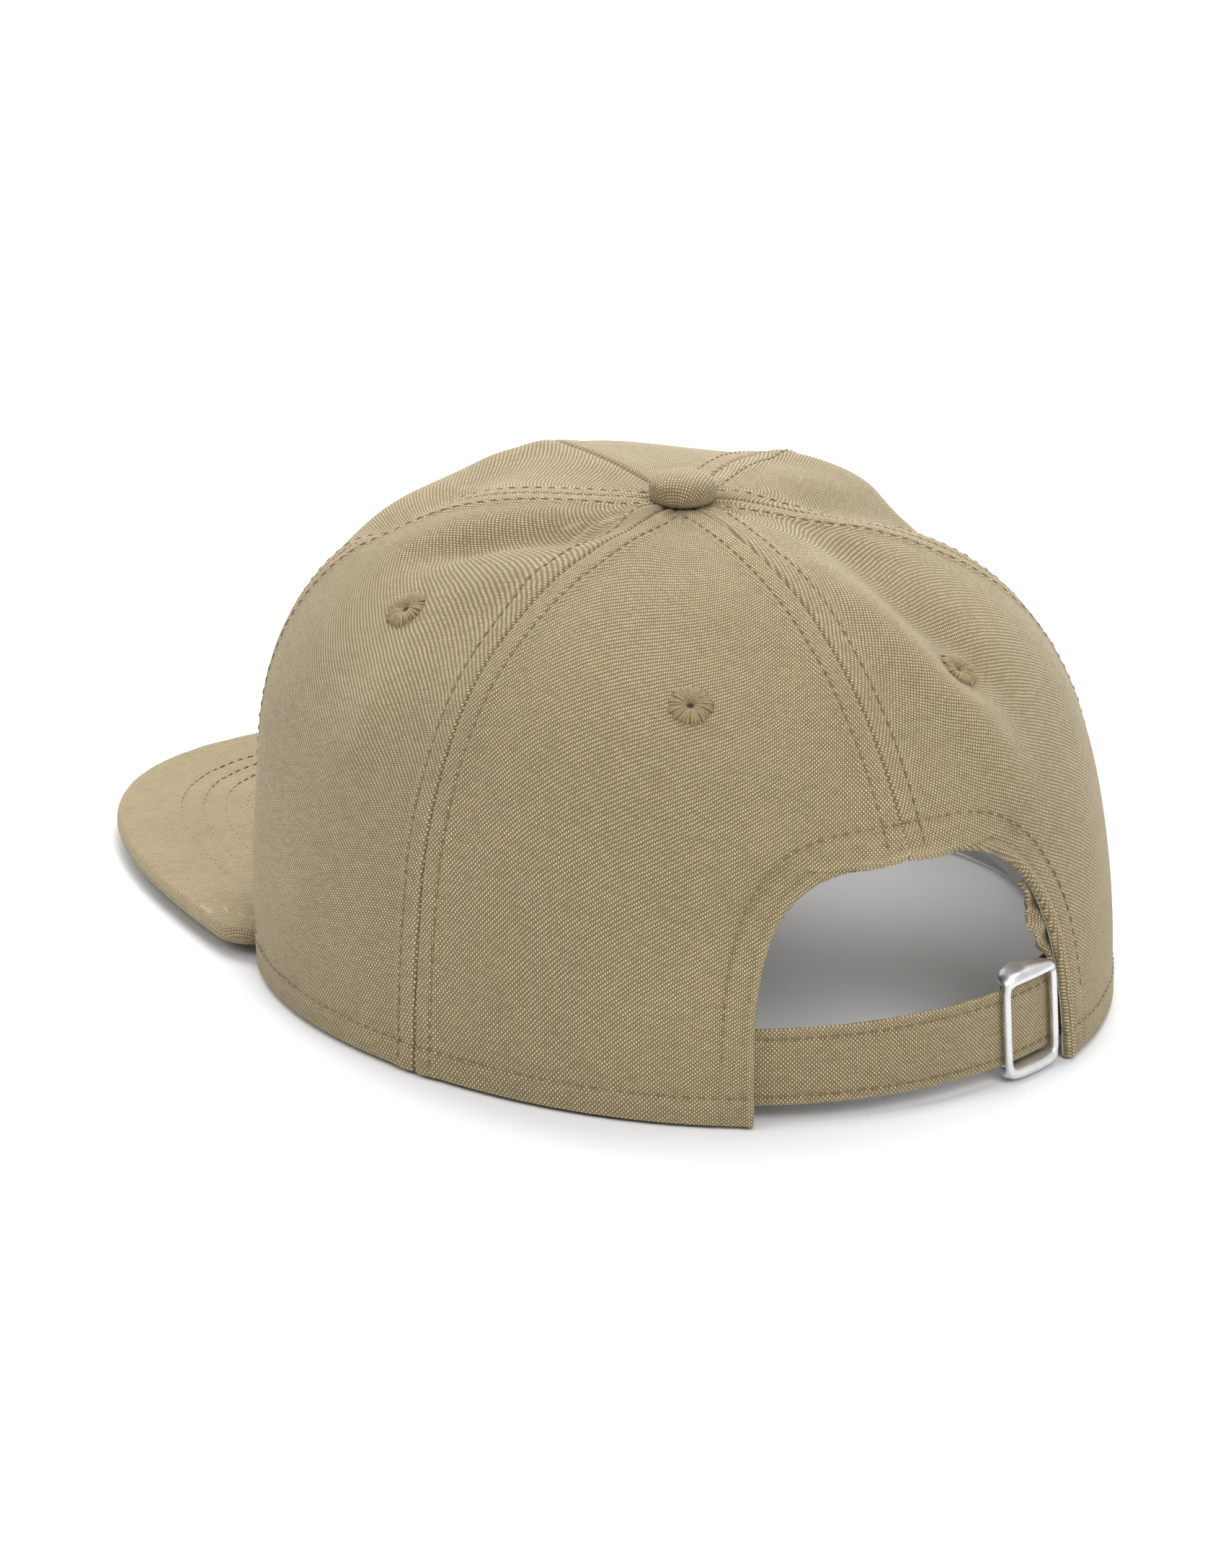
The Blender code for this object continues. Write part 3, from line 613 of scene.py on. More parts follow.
def feed(tree, socket, value):
    if isinstance(value, bpy.types.NodeSocket):
        tree.links.new(value, socket)
    elif value is not None:
        socket.default_value = value


def feed_all(tree, node, values):
    """Feeds a node's inputs by name."""
    for name, value in values.items():
        feed(tree, node.inputs[name], value)


def feed_first(tree, node, values):
    """Feeds a node's first inputs in order, and returns its first output."""
    for socket, value in zip(node.inputs, values):
        feed(tree, socket, value)
    return node.outputs[0]


def calc(tree, operation, *values):
    return feed_first(tree, node_of(tree, "ShaderNodeMath", operation=operation), values)


def times(tree, first, second):
    return calc(tree, "MULTIPLY", first, second)


def mix_colour(tree, share, first, second, blend="MIX"):
    node = node_of(tree, "ShaderNodeMix", data_type="RGBA", blend_type=blend)
    feed(tree, node.inputs[0], share)
    feed(tree, node.inputs[6], first)
    feed(tree, node.inputs[7], second)
    return node.outputs[2]


def noise_value(tree, vector, scale, detail=2.0):
    node = node_of(tree, "ShaderNodeTexNoise", noise_dimensions="3D")
    feed_all(tree, node, {"Vector": vector, "Scale": scale, "Detail": detail})
    return node.outputs["Fac"]


def remap(tree, value, low, high, to_low, to_high):
    node = node_of(tree, "ShaderNodeMapRange", clamp=True)
    return feed_first(tree, node, (value, low, high, to_low, to_high))


def varied(tree, noise, low, high):
    """A noise's usual range stretched between two values."""
    return remap(tree, noise, 0.3, 0.7, low, high)


def combine(tree, x, y, z=0.0):
    return feed_first(tree, node_of(tree, "ShaderNodeCombineXYZ"), (x, y, z))


def object_place(tree):
    return node_of(tree, "ShaderNodeTexCoord").outputs["Object"]


def grey_of(tree, value):
    return feed_first(tree, node_of(tree, "ShaderNodeCombineColor"), (value, value, value))


def shaded(tree, colour, shade):
    """A colour darkened or lightened by a grey factor."""
    return mix_colour(tree, 1.0, colour, grey_of(tree, shade), "MULTIPLY")


def new_material(name):
    material = bpy.data.materials.new(name)
    material.use_nodes = True
    tree = material.node_tree
    return material, tree, tree.nodes["Principled BSDF"]


def add_bump(tree, shader, height, distance, strength=1.0):
    node = node_of(tree, "ShaderNodeBump")
    feed_all(tree, node, {"Strength": strength, "Distance": distance * MM, "Height": height})
    feed(tree, shader.inputs["Normal"], node.outputs[0])


def weave_pattern(tree, across, upward):
    """Plain weave from thread coordinates: relief, whether the weft is on top, and thread numbers."""
    warp_number = calc(tree, "FLOOR", across)
    weft_number = calc(tree, "FLOOR", upward)
    off_warp = calc(tree, "SUBTRACT", calc(tree, "SUBTRACT", across, warp_number), 0.5)
    off_weft = calc(tree, "SUBTRACT", calc(tree, "SUBTRACT", upward, weft_number), 0.5)
    parity = calc(tree, "FLOORED_MODULO", calc(tree, "ADD", warp_number, weft_number), 2.0)
    sign = calc(tree, "MULTIPLY_ADD", parity, -2.0, 1.0)

    def thread(off_own, off_other, direction):
        square = times(tree, off_own, off_own)
        body = calc(tree, "SQRT", calc(tree, "MAXIMUM", calc(tree, "MULTIPLY_ADD", square, -4.0, 1.0), 0.0))
        wave = calc(tree, "COSINE", times(tree, off_other, math.pi))
        wave = times(tree, times(tree, wave, sign), direction)
        return calc(tree, "MULTIPLY_ADD", wave, 0.5, times(tree, body, 0.5))

    warp = thread(off_warp, off_weft, 1.0)
    weft = thread(off_weft, off_warp, -1.0)
    relief = calc(tree, "MAXIMUM", warp, weft)
    return relief, calc(tree, "GREATER_THAN", weft, warp), warp_number, weft_number


def drifting_threads(tree, pitch):
    """Thread coordinates of the cloth, wandering slightly as woven yarn does."""
    cloth = node_of(tree, "ShaderNodeUVMap", uv_map="weave").outputs[0]
    wander = node_of(tree, "ShaderNodeTexNoise", noise_dimensions="3D")
    feed_all(tree, wander, {"Vector": cloth, "Scale": YARN_WANDER / pitch})
    drift = node_of(tree, "ShaderNodeVectorMath", operation="MULTIPLY_ADD")
    scaled = node_of(tree, "ShaderNodeVectorMath", operation="SCALE")
    feed_all(tree, scaled, {"Vector": cloth, "Scale": 1.0 / pitch})
    threads = feed_first(tree, drift, (wander.outputs["Color"], (0.9, 0.9, 0.0), scaled.outputs[0]))
    split = node_of(tree, "ShaderNodeSeparateXYZ")
    feed(tree, split.inputs[0], threads)
    return split.outputs[0], split.outputs[1]


def canvas_material(name, dark, light, pitch=THREAD_PITCH, bump=0.18):
    """Dry cotton canvas: a plain weave with a paler weft, uneven yarn, painted shade in the hollows between
    threads, soft sheen and worn ridges.
    """
    material, tree, shader = new_material(name)
    across, upward = drifting_threads(tree, pitch)
    relief, weft_on_top, warp_number, weft_number = weave_pattern(tree, across, upward)
    warp_place = combine(tree, warp_number, times(tree, upward, YARN_STRETCH))
    warp_yarn = noise_value(tree, warp_place, YARN_SIZE, 1.0)
    weft_place = combine(tree, times(tree, across, YARN_STRETCH), weft_number, 9.0)
    weft_yarn = noise_value(tree, weft_place, YARN_SIZE, 1.0)
    warp_shown = times(tree, calc(tree, "SUBTRACT", 1.0, weft_on_top), warp_yarn)
    slub = varied(tree, calc(tree, "ADD", times(tree, weft_on_top, weft_yarn), warp_shown), 0.7, 1.3)
    # Painted shade: the colour falls to the dark tone in the low parts of the weave, between the threads;
    # the paler weft and the yarn slubs are the cloth's own tone.
    depth = remap(tree, relief, 0.45, 0.95, 0.0, 1.0)
    paler = times(tree, times(tree, depth, calc(tree, "MULTIPLY_ADD", weft_on_top, 0.75, 0.2)), slub)
    colour = mix_colour(tree, paler, (*dark, 1), (*light, 1))
    cloud = noise_value(tree, object_place(tree), 26.0, 3.0)
    colour = shaded(tree, colour, varied(tree, cloud, 0.94, 1.05))
    edge = node_of(tree, "ShaderNodeNewGeometry").outputs["Pointiness"]
    worn = remap(tree, edge, 0.5, 0.6, 0.0, 0.25)
    feed_all(tree, shader, {
        "Base Color": mix_colour(tree, worn, colour, (*light, 1)),
        "Roughness": 0.92,
        "Specular IOR Level": 0.25,
        "Sheen Weight": 0.2,
        "Sheen Roughness": 0.5,
        "Sheen Tint": (1.0, 0.95, 0.85, 1.0),
    })
    add_bump(tree, shader, relief, bump, 0.9)
    return material


def thread_material(name, colour):
    """Twisted sewing thread with a slight lustre."""
    material, tree, shader = new_material(name)
    ply = noise_value(tree, object_place(tree), 1800.0, 1.0)
    tinted = shaded(tree, (*colour, 1), varied(tree, ply, 0.75, 1.15))
    feed_all(tree, shader, {"Base Color": tinted, "Roughness": 0.75, "Sheen Weight": 0.08})
    add_bump(tree, shader, ply, 0.05)
    return material


def metal_material(name, colour, roughness, grain):
    """Satin metal with a faint grain and fine scratches."""
    material, tree, shader = new_material(name)
    surface = object_place(tree)
    stretched = node_of(tree, "ShaderNodeMapping")
    feed_all(tree, stretched, {"Vector": surface, "Scale": (1.0, 1.0, 0.12)})
    fine = noise_value(tree, stretched.outputs[0], grain, 3.0)
    broad = noise_value(tree, surface, 260.0, 3.0)
    feed_all(tree, shader, {
        "Roughness": varied(tree, broad, roughness - 0.06, roughness + 0.1),
        "Base Color": shaded(tree, (*colour, 1), varied(tree, broad, 0.88, 1.04)),
        "Metallic": 1.0,
    })
    add_bump(tree, shader, fine, 0.03, 0.35)
    return material


def board_material():
    """Dark speckled plastic."""
    material, tree, shader = new_material("brim_board_plastic")
    speckle = noise_value(tree, object_place(tree), 900.0)
    shade = grey_of(tree, varied(tree, speckle, 0.05, 0.09))
    feed_all(tree, shader, {"Base Color": shade, "Roughness": varied(tree, speckle, 0.5, 0.7)})
    return material


# --- Stitching ---

# Shares of a stitch's length, its lift as a share of the depth it dives to, and its girth.
STITCH_SHARES = np.array((0.0, 0.12, 0.35, 0.65, 0.88, 1.0))
STITCH_LIFT = np.array((-1.0, 0.1, 0.9, 0.9, 0.1, -1.0))
STITCH_GIRTH = np.array((0.35, 0.85, 1.0, 1.0, 0.85, 0.35))
STITCH_PROUD = 0.02


def stitches(name, path, normal, spec=STITCH, sink=0.3):
    """A run of short threads along a path, each diving under the cloth at its ends."""
    length, gap, thickness = spec
    along = travelled(path)
    count = max(int(along[-1] // (length + gap)), 1)
    pitch = along[-1] / count
    where = (np.arange(count)[:, None] + 0.5) * pitch + (STITCH_SHARES - 0.5) * (pitch - gap)
    centre = np.stack([np.interp(where, along, path[:, k]) for k in range(3)], axis=-1)
    up = unit(np.stack([np.interp(where, along, normal[:, k]) for k in range(3)], axis=-1))
    side = unit(np.cross(np.gradient(centre, axis=1), up))
    lifted = centre + up * (STITCH_LIFT * sink)[None, :, None]
    return tubes(name, lifted, side, up, STITCH_GIRTH * thickness)


def tubes(name, centre, side, up, girth, flat=1.0, ring=6):
    """Closed tubes: centre, side and up are (tube, station, 3), and girth is a radius for each station."""
    count, stations = centre.shape[:2]
    turns = np.arange(ring) * 2 * math.pi / ring
    spread = side[:, :, None] * np.cos(turns)[None, None, :, None]
    rise = up[:, :, None] * np.sin(turns)[None, None, :, None] * flat
    girth = np.broadcast_to(girth, (count, stations))[:, :, None, None]
    points = centre[:, :, None] + (spread + rise) * girth
    faces = []
    for tube in np.arange(count * stations * ring).reshape(count, stations, ring).tolist():
        for lower, upper in zip(tube, tube[1:]):
            for m in range(ring):
                n = (m + 1) % ring
                faces.append((lower[m], lower[n], upper[n], upper[m]))
        faces.append(tuple(tube[0][::-1]))
        faces.append(tuple(tube[-1]))
    return new_piece(name, points.reshape(-1, 3), faces, sharp=80.0)


def sew(name, path, normal, material, body="crown", slot="canvas", **options):
    place_piece(stitches(name, path, normal, **options), material, slot, body=body)


def crown_path(angle, t):
    """Points and normals for stitches that lie on the finished outer cloth."""
    return off_crown(angle, t, cloth_height(angle, t) + STITCH_PROUD), bare_normal(angle, t)


def beside(seam, t, offset):
    """The angles and parameters of points a fixed distance to one side of a seam."""
    base = bare_point(np.full(len(t), seam), t)
    turn = math.radians(seam)
    target = base + offset * np.array((math.cos(turn), math.sin(turn), 0.0))
    angle = np.degrees(np.arctan2(target[:, 0], CROWN_AXIS_Y - target[:, 1]))
    found = t.copy()
    for _ in range(8):
        point = bare_point(angle, found)
        slope = (bare_point(angle, np.minimum(found + 1e-3, 1.0)) - point) * 1e3
        along = np.sum((target - point) * slope, axis=1) / np.sum(slope * slope, axis=1)
        found = np.clip(found + along, 0.0, 0.999)
    return angle, found


def sew_seams(thread):
    """Two rows of topstitching beside each seam except the front one."""
    for word, seam in STITCHED_SEAMS.items():
        low = ARCH_HEIGHT + 2.0 if word == "rear_centre" else max(float(rim_height(seam)), 1.0) + 1.0
        t = np.linspace(float(level(seam, low)), float(tip(seam, BUTTON_RADIUS + 0.5)), 260)
        for side, row in ((1, "a"), (-1, "b")):
            sew(f"topstitch_{word}_{row}", *crown_path(*beside(seam, t, side * TOPSTITCH)), thread)


def sew_hems(thread):
    """One row along the lower edge on each side, and one round the arch."""
    start = RIM_RAMP[1] + 0.5
    stop = REAR_SEAM - math.degrees((ARCH_HALF_WIDTH + ARCH_STITCH) / ARCH_RADIUS) + 3.2
    for side, word in ((1, "left"), (-1, "right")):
        angle = side * np.linspace(start, stop, 300)
        sew(f"hem_stitch_{word}", *crown_path(angle, level(angle, HEM_STITCH)), thread)
    turns = np.radians(np.linspace(4.0, 176.0, 500))
    sew("arch_stitch", *crown_path(*round_arch(turns, ARCH_STITCH)), thread)


# --- Eyelets ---

PETALS = 32
PETAL_REACH = 4.7
PETAL_SHARES = np.array((0.0, 0.06, 0.2, 0.5, 0.8, 0.94, 1.0))
PETAL_LIFT = np.array((-1.0, 0.1, 0.65, 0.8, 0.62, 0.25, -0.35))
PETAL_GIRTH = np.array((0.7, 1, 1, 1, 0.95, 0.75, 0.4))
RING_SEGMENTS = 40
RING_PROFILE = np.array((
    (EYELET_HOLE, 0.1), (1.5, 0.42), (3.0, 0.5), (4.1, 0.36), (4.35, 0.0),
    (4.2, -1.15), (3.6, -1.5), (2.2, -1.6), (EYELET_HOLE + 0.1, -1.3), (EYELET_HOLE - 0.08, -0.6),
))


def beside_eyelet(name, x, y, lift):
    """Points near an eyelet, and normals: x runs round the crown, y up it, and lift off the cloth."""
    angle, t = map(np.array, EYELETS[name])
    turn_step, rise_step = 0.1, 0.001
    centre = bare_point(angle, t)
    around = bare_point(angle + turn_step, t) - centre
    upward = bare_point(angle, t + rise_step) - centre
    across = unit(around)
    slopes = np.stack((around / turn_step, upward / rise_step), axis=-1)
    offset = np.stack((across, np.cross(bare_normal(angle, t), across)), axis=-1)
    turn, rise = np.linalg.lstsq(slopes, offset, rcond=None)[0]
    angles = angle + turn[0] * x + turn[1] * y
    heights = t + rise[0] * x + rise[1] * y
    normal = bare_normal(angles, heights)
    base = off_crown(angles, heights, fold_height(angles, heights))
    return base + normal * np.asarray(lift)[..., None], normal


def make_eyelet(name, thread):
    """Dense radial stitches over a stitched ring, with a small open hole."""
    source = np.random.RandomState(20 + len(name) * 3 + sorted(EYELETS).index(name))
    turn = (np.arange(PETALS) + source.uniform(-0.18, 0.18, PETALS)) * 2 * math.pi / PETALS
    reach = PETAL_REACH + source.uniform(-0.35, 0.3, PETALS)
    radius = EYELET_HOLE + (reach[:, None] - EYELET_HOLE) * PETAL_SHARES
    skew = turn[:, None] + 0.1 * (1 - PETAL_SHARES)
    height = PETAL_LIFT * source.uniform(0.85, 1.12, PETALS)[:, None]
    centre, up = beside_eyelet(name, radius * np.cos(skew), radius * np.sin(skew), height)
    side = unit(np.cross(np.gradient(centre, axis=1), up))
    girth = np.clip(radius * math.pi / PETALS * 1.15, 0.2, 0.42) * PETAL_GIRTH
    petals = tubes(f"eyelet_stitches_{name}", centre, side, up, girth, flat=0.75, ring=7)
    place_piece(petals, thread, "eyelet_thread")
    place_piece(eyelet_ring(name), thread, "eyelet_thread", f"eyelet_{name}")


def eyelet_ring(name):
    """The wrapped core under the stitches, which also shows as a rosette inside the cap."""
    turn = np.arange(RING_SEGMENTS)[:, None] * 2 * math.pi / RING_SEGMENTS
    radius = RING_PROFILE[:, 0] * (1 + 0.02 * np.cos(turn * 20))
    lift = np.broadcast_to(RING_PROFILE[:, 1], radius.shape)
    points, _ = beside_eyelet(name, radius * np.cos(turn), radius * np.sin(turn), lift)
    faces = ring_faces(RING_SEGMENTS, len(RING_PROFILE))
    return new_piece(f"eyelet_ring_{name}", points.reshape(-1, 3), faces, sharp=70.0)


# --- Button ---

BUTTON_SEGMENTS = 96
BUTTON_SHOULDER = 1.9


def button_profile():
    """Radius and height down the button, from its top to where the cloth is pulled in under its edge."""
    shoulder = float(BUTTON_LOW[2]) + BUTTON_SHOULDER
    rise = float(BUTTON_HIGH[2]) + BUTTON_PUFF - shoulder
    reach = BUTTON_RADIUS - 0.2
    turns = np.linspace(0.0, math.pi / 2, 18)
    dome_height = shoulder + rise * np.cos(turns).clip(0) ** 0.85
    dome = np.stack((reach * np.sin(turns) ** 0.75, dome_height), axis=-1)
    skirt = np.array((reach, shoulder)) - np.array(((0.0, 0.8), (0.1, 1.8), (0.5, 2.6), (1.4, 3.2)))
    return np.concatenate((dome, skirt))


def make_button(cloth, steel):
    """A covered dome with small gathers in its skirt."""
    outer = button_profile()
    rings = len(outer)
    turn = np.arange(BUTTON_SEGMENTS) * 2 * math.pi / BUTTON_SEGMENTS
    gathered = smoothstep(0.55, 1.0, np.arange(rings) / rings)[:, None]
    radius = outer[:, :1] * (1 + 0.012 * np.cos(turn * 17 + 0.5) * gathered)
    height = np.broadcast_to(outer[:, 1:], radius.shape)
    shell = np.stack((radius * np.sin(turn), CROWN_AXIS_Y - radius * np.cos(turn), height), axis=-1)
    points = np.concatenate((shell[:1, 0], shell[1:].reshape(-1, 3)))
    below = (1 + np.arange((rings - 1) * BUTTON_SEGMENTS)).reshape(rings - 1, BUTTON_SEGMENTS).tolist()
    faces = []
    for j in range(BUTTON_SEGMENTS):
        k = (j + 1) % BUTTON_SEGMENTS
        faces.append((0, below[0][j], below[0][k]))
        for upper, lower in zip(below, below[1:]):
            faces.append((upper[j], lower[j], lower[k], upper[k]))
    faces.append(tuple(below[-1][::-1]))
    around = np.stack((np.sin(turn), np.cos(turn)), axis=-1)
    weave = travelled(outer)[1:, None, None] * around
    weave = np.concatenate((np.zeros((1, 2)), weave.reshape(-1, 2)))
    button = new_piece("button_cloth", points, faces, weave, sharp=80.0)
    place_piece(button, cloth, "button_canvas", "button_cover")
    for node in ("button_back", "button_shell", "button_tack"):
        dress(frame["nodes"][node], steel)


# --- Brim ---

BRIM_LOW, BRIM_HIGH = node_box("brim_top_cover")
BRIM_HALF_WIDTH = float(BRIM_HIGH[0])
BRIM_UNDER = BRIM_LIFT
BRIM_THICKNESS = float(BRIM_HIGH[2])
BRIM_TOP = BRIM_THICKNESS + BRIM_LIFT
BRIM_EXPONENT = 3.05
BRIM_CORNER_Y = CROWN_AXIS_Y - 28.5
BRIM_LENGTH = BRIM_CORNER_Y - float(BRIM_LOW[1])
BRIM_END_ANGLE = 63.6
BRIM_END_FORWARD = 14.0
BRIM_END_TURN = math.acos((BRIM_END_FORWARD / BRIM_LENGTH) ** (BRIM_EXPONENT / 2))
BRIM_END_RADIUS = 7.0
BRIM_TUCK = 2.5
BRIM_CORNER = 1.75
BRIM_CLOTH = 0.6
BRIM_ROWS = tuple(14.9 + 5.0 * row for row in range(7))
ROW_FADE_Y = (-102.0, -84.0)
ROWS_END_Y = -45.0
ROW_GROOVE = (0.12, 0.6)
BOARD_GAP = 0.4


def brim_edge(share):
    """The brim's outline in plan; share runs from the wearer's right end (0) to the left end (1)."""
    forward, sideways = superellipse(BRIM_END_TURN * (2 * share - 1), BRIM_EXPONENT)
    return np.stack((sideways * BRIM_HALF_WIDTH, BRIM_CORNER_Y - forward * BRIM_LENGTH), axis=-1)


def edge_lengths(count=4000):
    """Shares along the brim's outline, and the distance travelled at each."""
    fine = np.linspace(0.0, 1.0, count)
    return fine, travelled(brim_edge(fine))


def brim_outline(count=700):
    """Points at even distances along the brim's edge."""
    fine, length = edge_lengths()
    return brim_edge(np.interp(np.linspace(0.0, length[-1], count), length, fine))


def brim_border(count):
    """The outline with its two rear corners rounded, and the tucked root opposite each of its points."""
    fine, length = edge_lengths()
    end = BRIM_END_RADIUS * (1 - np.cos(np.radians(np.linspace(0.0, 90.0, 13))))
    middle = np.linspace(BRIM_END_RADIUS, length[-1] - BRIM_END_RADIUS, count)[1:-1]
    along = np.concatenate((end, middle, length[-1] - end[::-1]))
    edge = brim_edge(np.interp(along, length, fine))
    root = brim_root(along / length[-1])
    inset = round_over(np.minimum(along, length[-1] - along), BRIM_END_RADIUS)
    return edge + unit(root - edge) * inset[:, None], root


def brim_root(share):
    """Plan points inside the crown's lower edge, where the brim is sewn in."""
    angle = BRIM_END_ANGLE * (2 * share - 1)
    return off_crown(angle, np.zeros_like(angle), np.full_like(angle, -BRIM_TUCK))[..., :2]


def outward_of(path):
    """Unit plan vectors square to the brim's border, pointing out of the brim."""
    tangent = unit(np.gradient(path, axis=0))
    return np.stack((tangent[:, 1], -tangent[:, 0]), axis=-1)


def at_height(plan, height):
    """Plan points raised to a height."""
    return np.concatenate((plan, np.broadcast_to(height, plan.shape[:-1])[..., None]), axis=-1)


def brim_distance(points, outline):
    """Distance of plan points from the brim's outline."""
    result = np.full(points.shape[:-1], np.inf)
    for corner in outline:
        result = np.minimum(result, np.linalg.norm(points - corner, axis=-1))
    return result


def row_fade(plan):
    """The stitched rows sink into the cloth towards the brim's rear ends."""
    return 1 - 0.9 * smoothstep(*ROW_FADE_Y, plan[..., 1])


def brim_relief(plan, outline):
    """Quilting between the stitched rows, and a soft unevenness."""
    distance = brim_distance(plan, outline)
    rows = np.max([ridge(ROW_GROOVE, distance - row) for row in BRIM_ROWS], axis=0)
    flat = at_height(plan, 0.0)
    return 0.12 * waviness(flat, 14.0, 5) + 0.03 * waviness(flat, 4.0, 6) - rows * row_fade(plan)


def make_brim_cover(name, node, slot, material, top):
    """One cover, from the crown seam out, round the board's edge and ends, to the join at mid thickness."""
    border, root = brim_border(281)
    outline = brim_outline()
    outward = outward_of(border)
    flat_edge = border - outward * BRIM_CORNER
    across = np.concatenate((np.linspace(0.0, 0.97, 90), np.linspace(0.975, 1.0, 8)))
    plan = root[:, None] + (flat_edge - root)[:, None] * across[None, :, None]
    sign = 1.0 if top else -1.0
    face = BRIM_TOP if top else BRIM_UNDER
    cells = [at_height(plan, face + sign * brim_relief(plan, outline))]
    normals = [np.broadcast_to(np.array((0.0, 0.0, sign)), cells[0].shape)]
    half = BRIM_THICKNESS / 2
    rim_relief = brim_relief(flat_edge, outline)
    for turn in np.radians((15, 30, 45, 60, 75, 90)):
        ring = flat_edge + outward * BRIM_CORNER * math.sin(turn)
        rise = BRIM_UNDER + half + sign * ((half + rim_relief) * math.cos(turn) + 0.06)
        cells.append(at_height(ring, rise)[:, None])
        normals.append(at_height(outward * math.sin(turn), sign * math.cos(turn))[:, None])
    outer = np.concatenate(cells, axis=1)
    inner = outer - np.concatenate(normals, axis=1) * BRIM_CLOTH
    wrap = grid_travelled(outer, 1)
    over = (wrap - wrap[:, plan.shape[1] - 1:plan.shape[1]]).clip(0)[..., None] * outward[:, None]
    round_edge = np.repeat(flat_edge[:, None], outer.shape[1] - plan.shape[1], axis=1)
    weave = np.concatenate((plan, round_edge), axis=1) + over
    piece = sheet(name, outer, inner, weave[..., 0], weave[..., 1], sharp=60.0)
    place_piece(piece, material, slot, node)


def make_brim_board(material):
    """The stiff board inside the covers, raised with them."""
    border, root = brim_border(121)
    edge = border - outward_of(border) * (BRIM_CLOTH + 0.9)
    across = np.linspace(0.02, 1.0, 14)
    plan = root[:, None] + (edge - root)[:, None] * across[None, :, None]
    shares = np.linspace(0, 1, len(plan))
    plan = plan[(shares > 0.01) & (shares < 0.99)]
    inset = BRIM_CLOTH + BOARD_GAP
    points, faces, _ = thick_grid(at_height(plan, BRIM_TOP - inset), at_height(plan, BRIM_UNDER + inset))
    place_piece(new_piece("brim_board_sheet", points, faces), material, "brim_core", "brim_board")


def brim_row_path(row, outline):
    """A stitched row: the offset of the outline, kept where it lies outside the crown."""
    path = outline - outward_of(outline) * row
    angle = np.degrees(np.arctan2(path[:, 0], CROWN_AXIS_Y - path[:, 1]))
    radius = np.hypot(path[:, 0], CROWN_AXIS_Y - path[:, 1])
    crown_radius, _ = crown_section(angle, np.zeros(len(angle)))
    clear_of_edge = brim_distance(path, outline) > row - 0.35
    return path[clear_of_edge & (radius > crown_radius - 1.5) & (path[:, 1] < ROWS_END_Y)]


def sew_brim(thread):
    """The concentric rows, on the top and on the underside."""
    outline = brim_outline()
    for number, row in enumerate(BRIM_ROWS, 1):
        path = brim_row_path(row, outline)
        height = brim_relief(path, outline) + STITCH_PROUD - 0.3 * (1 - row_fade(path))
        for word, face, sign in (("top", BRIM_TOP, 1.0), ("under", BRIM_UNDER, -1.0)):
            points = at_height(path, face + sign * height)
            normal = np.broadcast_to(np.array((0.0, 0.0, sign)), points.shape)
            sew(f"brim_stitch_{word}_{number}", points, normal, thread, spec=BRIM_STITCH, sink=0.2)


# --- Lining, sweatband and stiffeners ---

TAPE_HALF_WIDTH = 6.5
TAPE_DEPTH = (2.25, 2.75)
TAPE_RIDGE = (0.12, 0.08)
TAPE_RIDGE_AT = 0.72
TAPE_WEAVE_LENGTH = 150.0
BUCKRAM_ANGLES = (1.0, 51.0)
BUCKRAM_DEPTH = (1.1, 1.6)
FACING_MARGIN = (0.6, 8.0)
FACING_DEPTH = (1.75, 2.15)
HEM_END_HEIGHTS = (20.8, 39.0)
BAND_SETBACK = (78.0, 104.0)
BAND_DEPTH = (4.2, 7.6)
BAND_HEIGHT = 32.0
BAND_CLOTH = 0.6
BAND_END = 147.0
BAND_ROWS = {"low": 5.5, "high": 30.4}
PAD_CLOTH = 0.8
PAD_RISE = 1.15
PAD_LOW = 6.5
PAD_END = 100.0
CROWN_RADIUS = 90.0


def lining_sheet(name, angle, t, depths, across, upward):
    """A closed sheet between two depths under the panels."""
    outer, inner = (lining_point(angle, t, depth) for depth in depths)
    return sheet(name, outer, inner, across, upward)


def make_tapes(tape):
    """A taped strip under each seam, with a slight ridge near its two edges."""
    for word, seam in SEAMS.items():
        low = ARCH_HEIGHT + 8.5 if word == "rear_centre" else float(rim_height(seam)) + 1.0
        t = np.linspace(float(level(seam, low)), float(tip(seam, 3.4)), 90)
        radius, _ = crown_section(np.full(len(t), seam), t)
        half = np.minimum(TAPE_HALF_WIDTH, radius * math.sin(math.radians(28.0)))
        offset = np.linspace(-1, 1, 15)[:, None]
        angle = seam + offset * np.degrees(half / radius)
        edge_ridge = ridge(TAPE_RIDGE, np.abs(offset) - TAPE_RIDGE_AT)
        depths = (TAPE_DEPTH[0] - edge_ridge, TAPE_DEPTH[1] + edge_ridge)
        weave = (offset * TAPE_HALF_WIDTH, t[None] * TAPE_WEAVE_LENGTH)
        piece = lining_sheet(f"tape_{word}", angle, np.broadcast_to(t, angle.shape), depths, *weave)
        place_piece(piece, tape, "lining", f"seam_tape_{word}")


def make_buckram(material):
    """A stiffener behind each front panel, with its weave measured along its own surface."""
    for side, word in ((1, "left"), (-1, "right")):
        angle = side * np.linspace(*BUCKRAM_ANGLES, 46)[:, None]
        low = level(angle, rim_height(angle) + 2.0)
        t = low + (tip(angle, 16.0) - low) * np.linspace(0, 1, 70)
        angle = np.broadcast_to(angle, t.shape)
        if side < 0:
            angle, t = angle[::-1], t[::-1]
        face = lining_point(angle, t, BUCKRAM_DEPTH[0])
        weave = (grid_travelled(face, 0), grid_travelled(face, 1))
        piece = lining_sheet(f"buckram_{word}", angle, t, BUCKRAM_DEPTH, *weave)
        place_piece(piece, material, "stiffener", f"front_buckram_{word}")


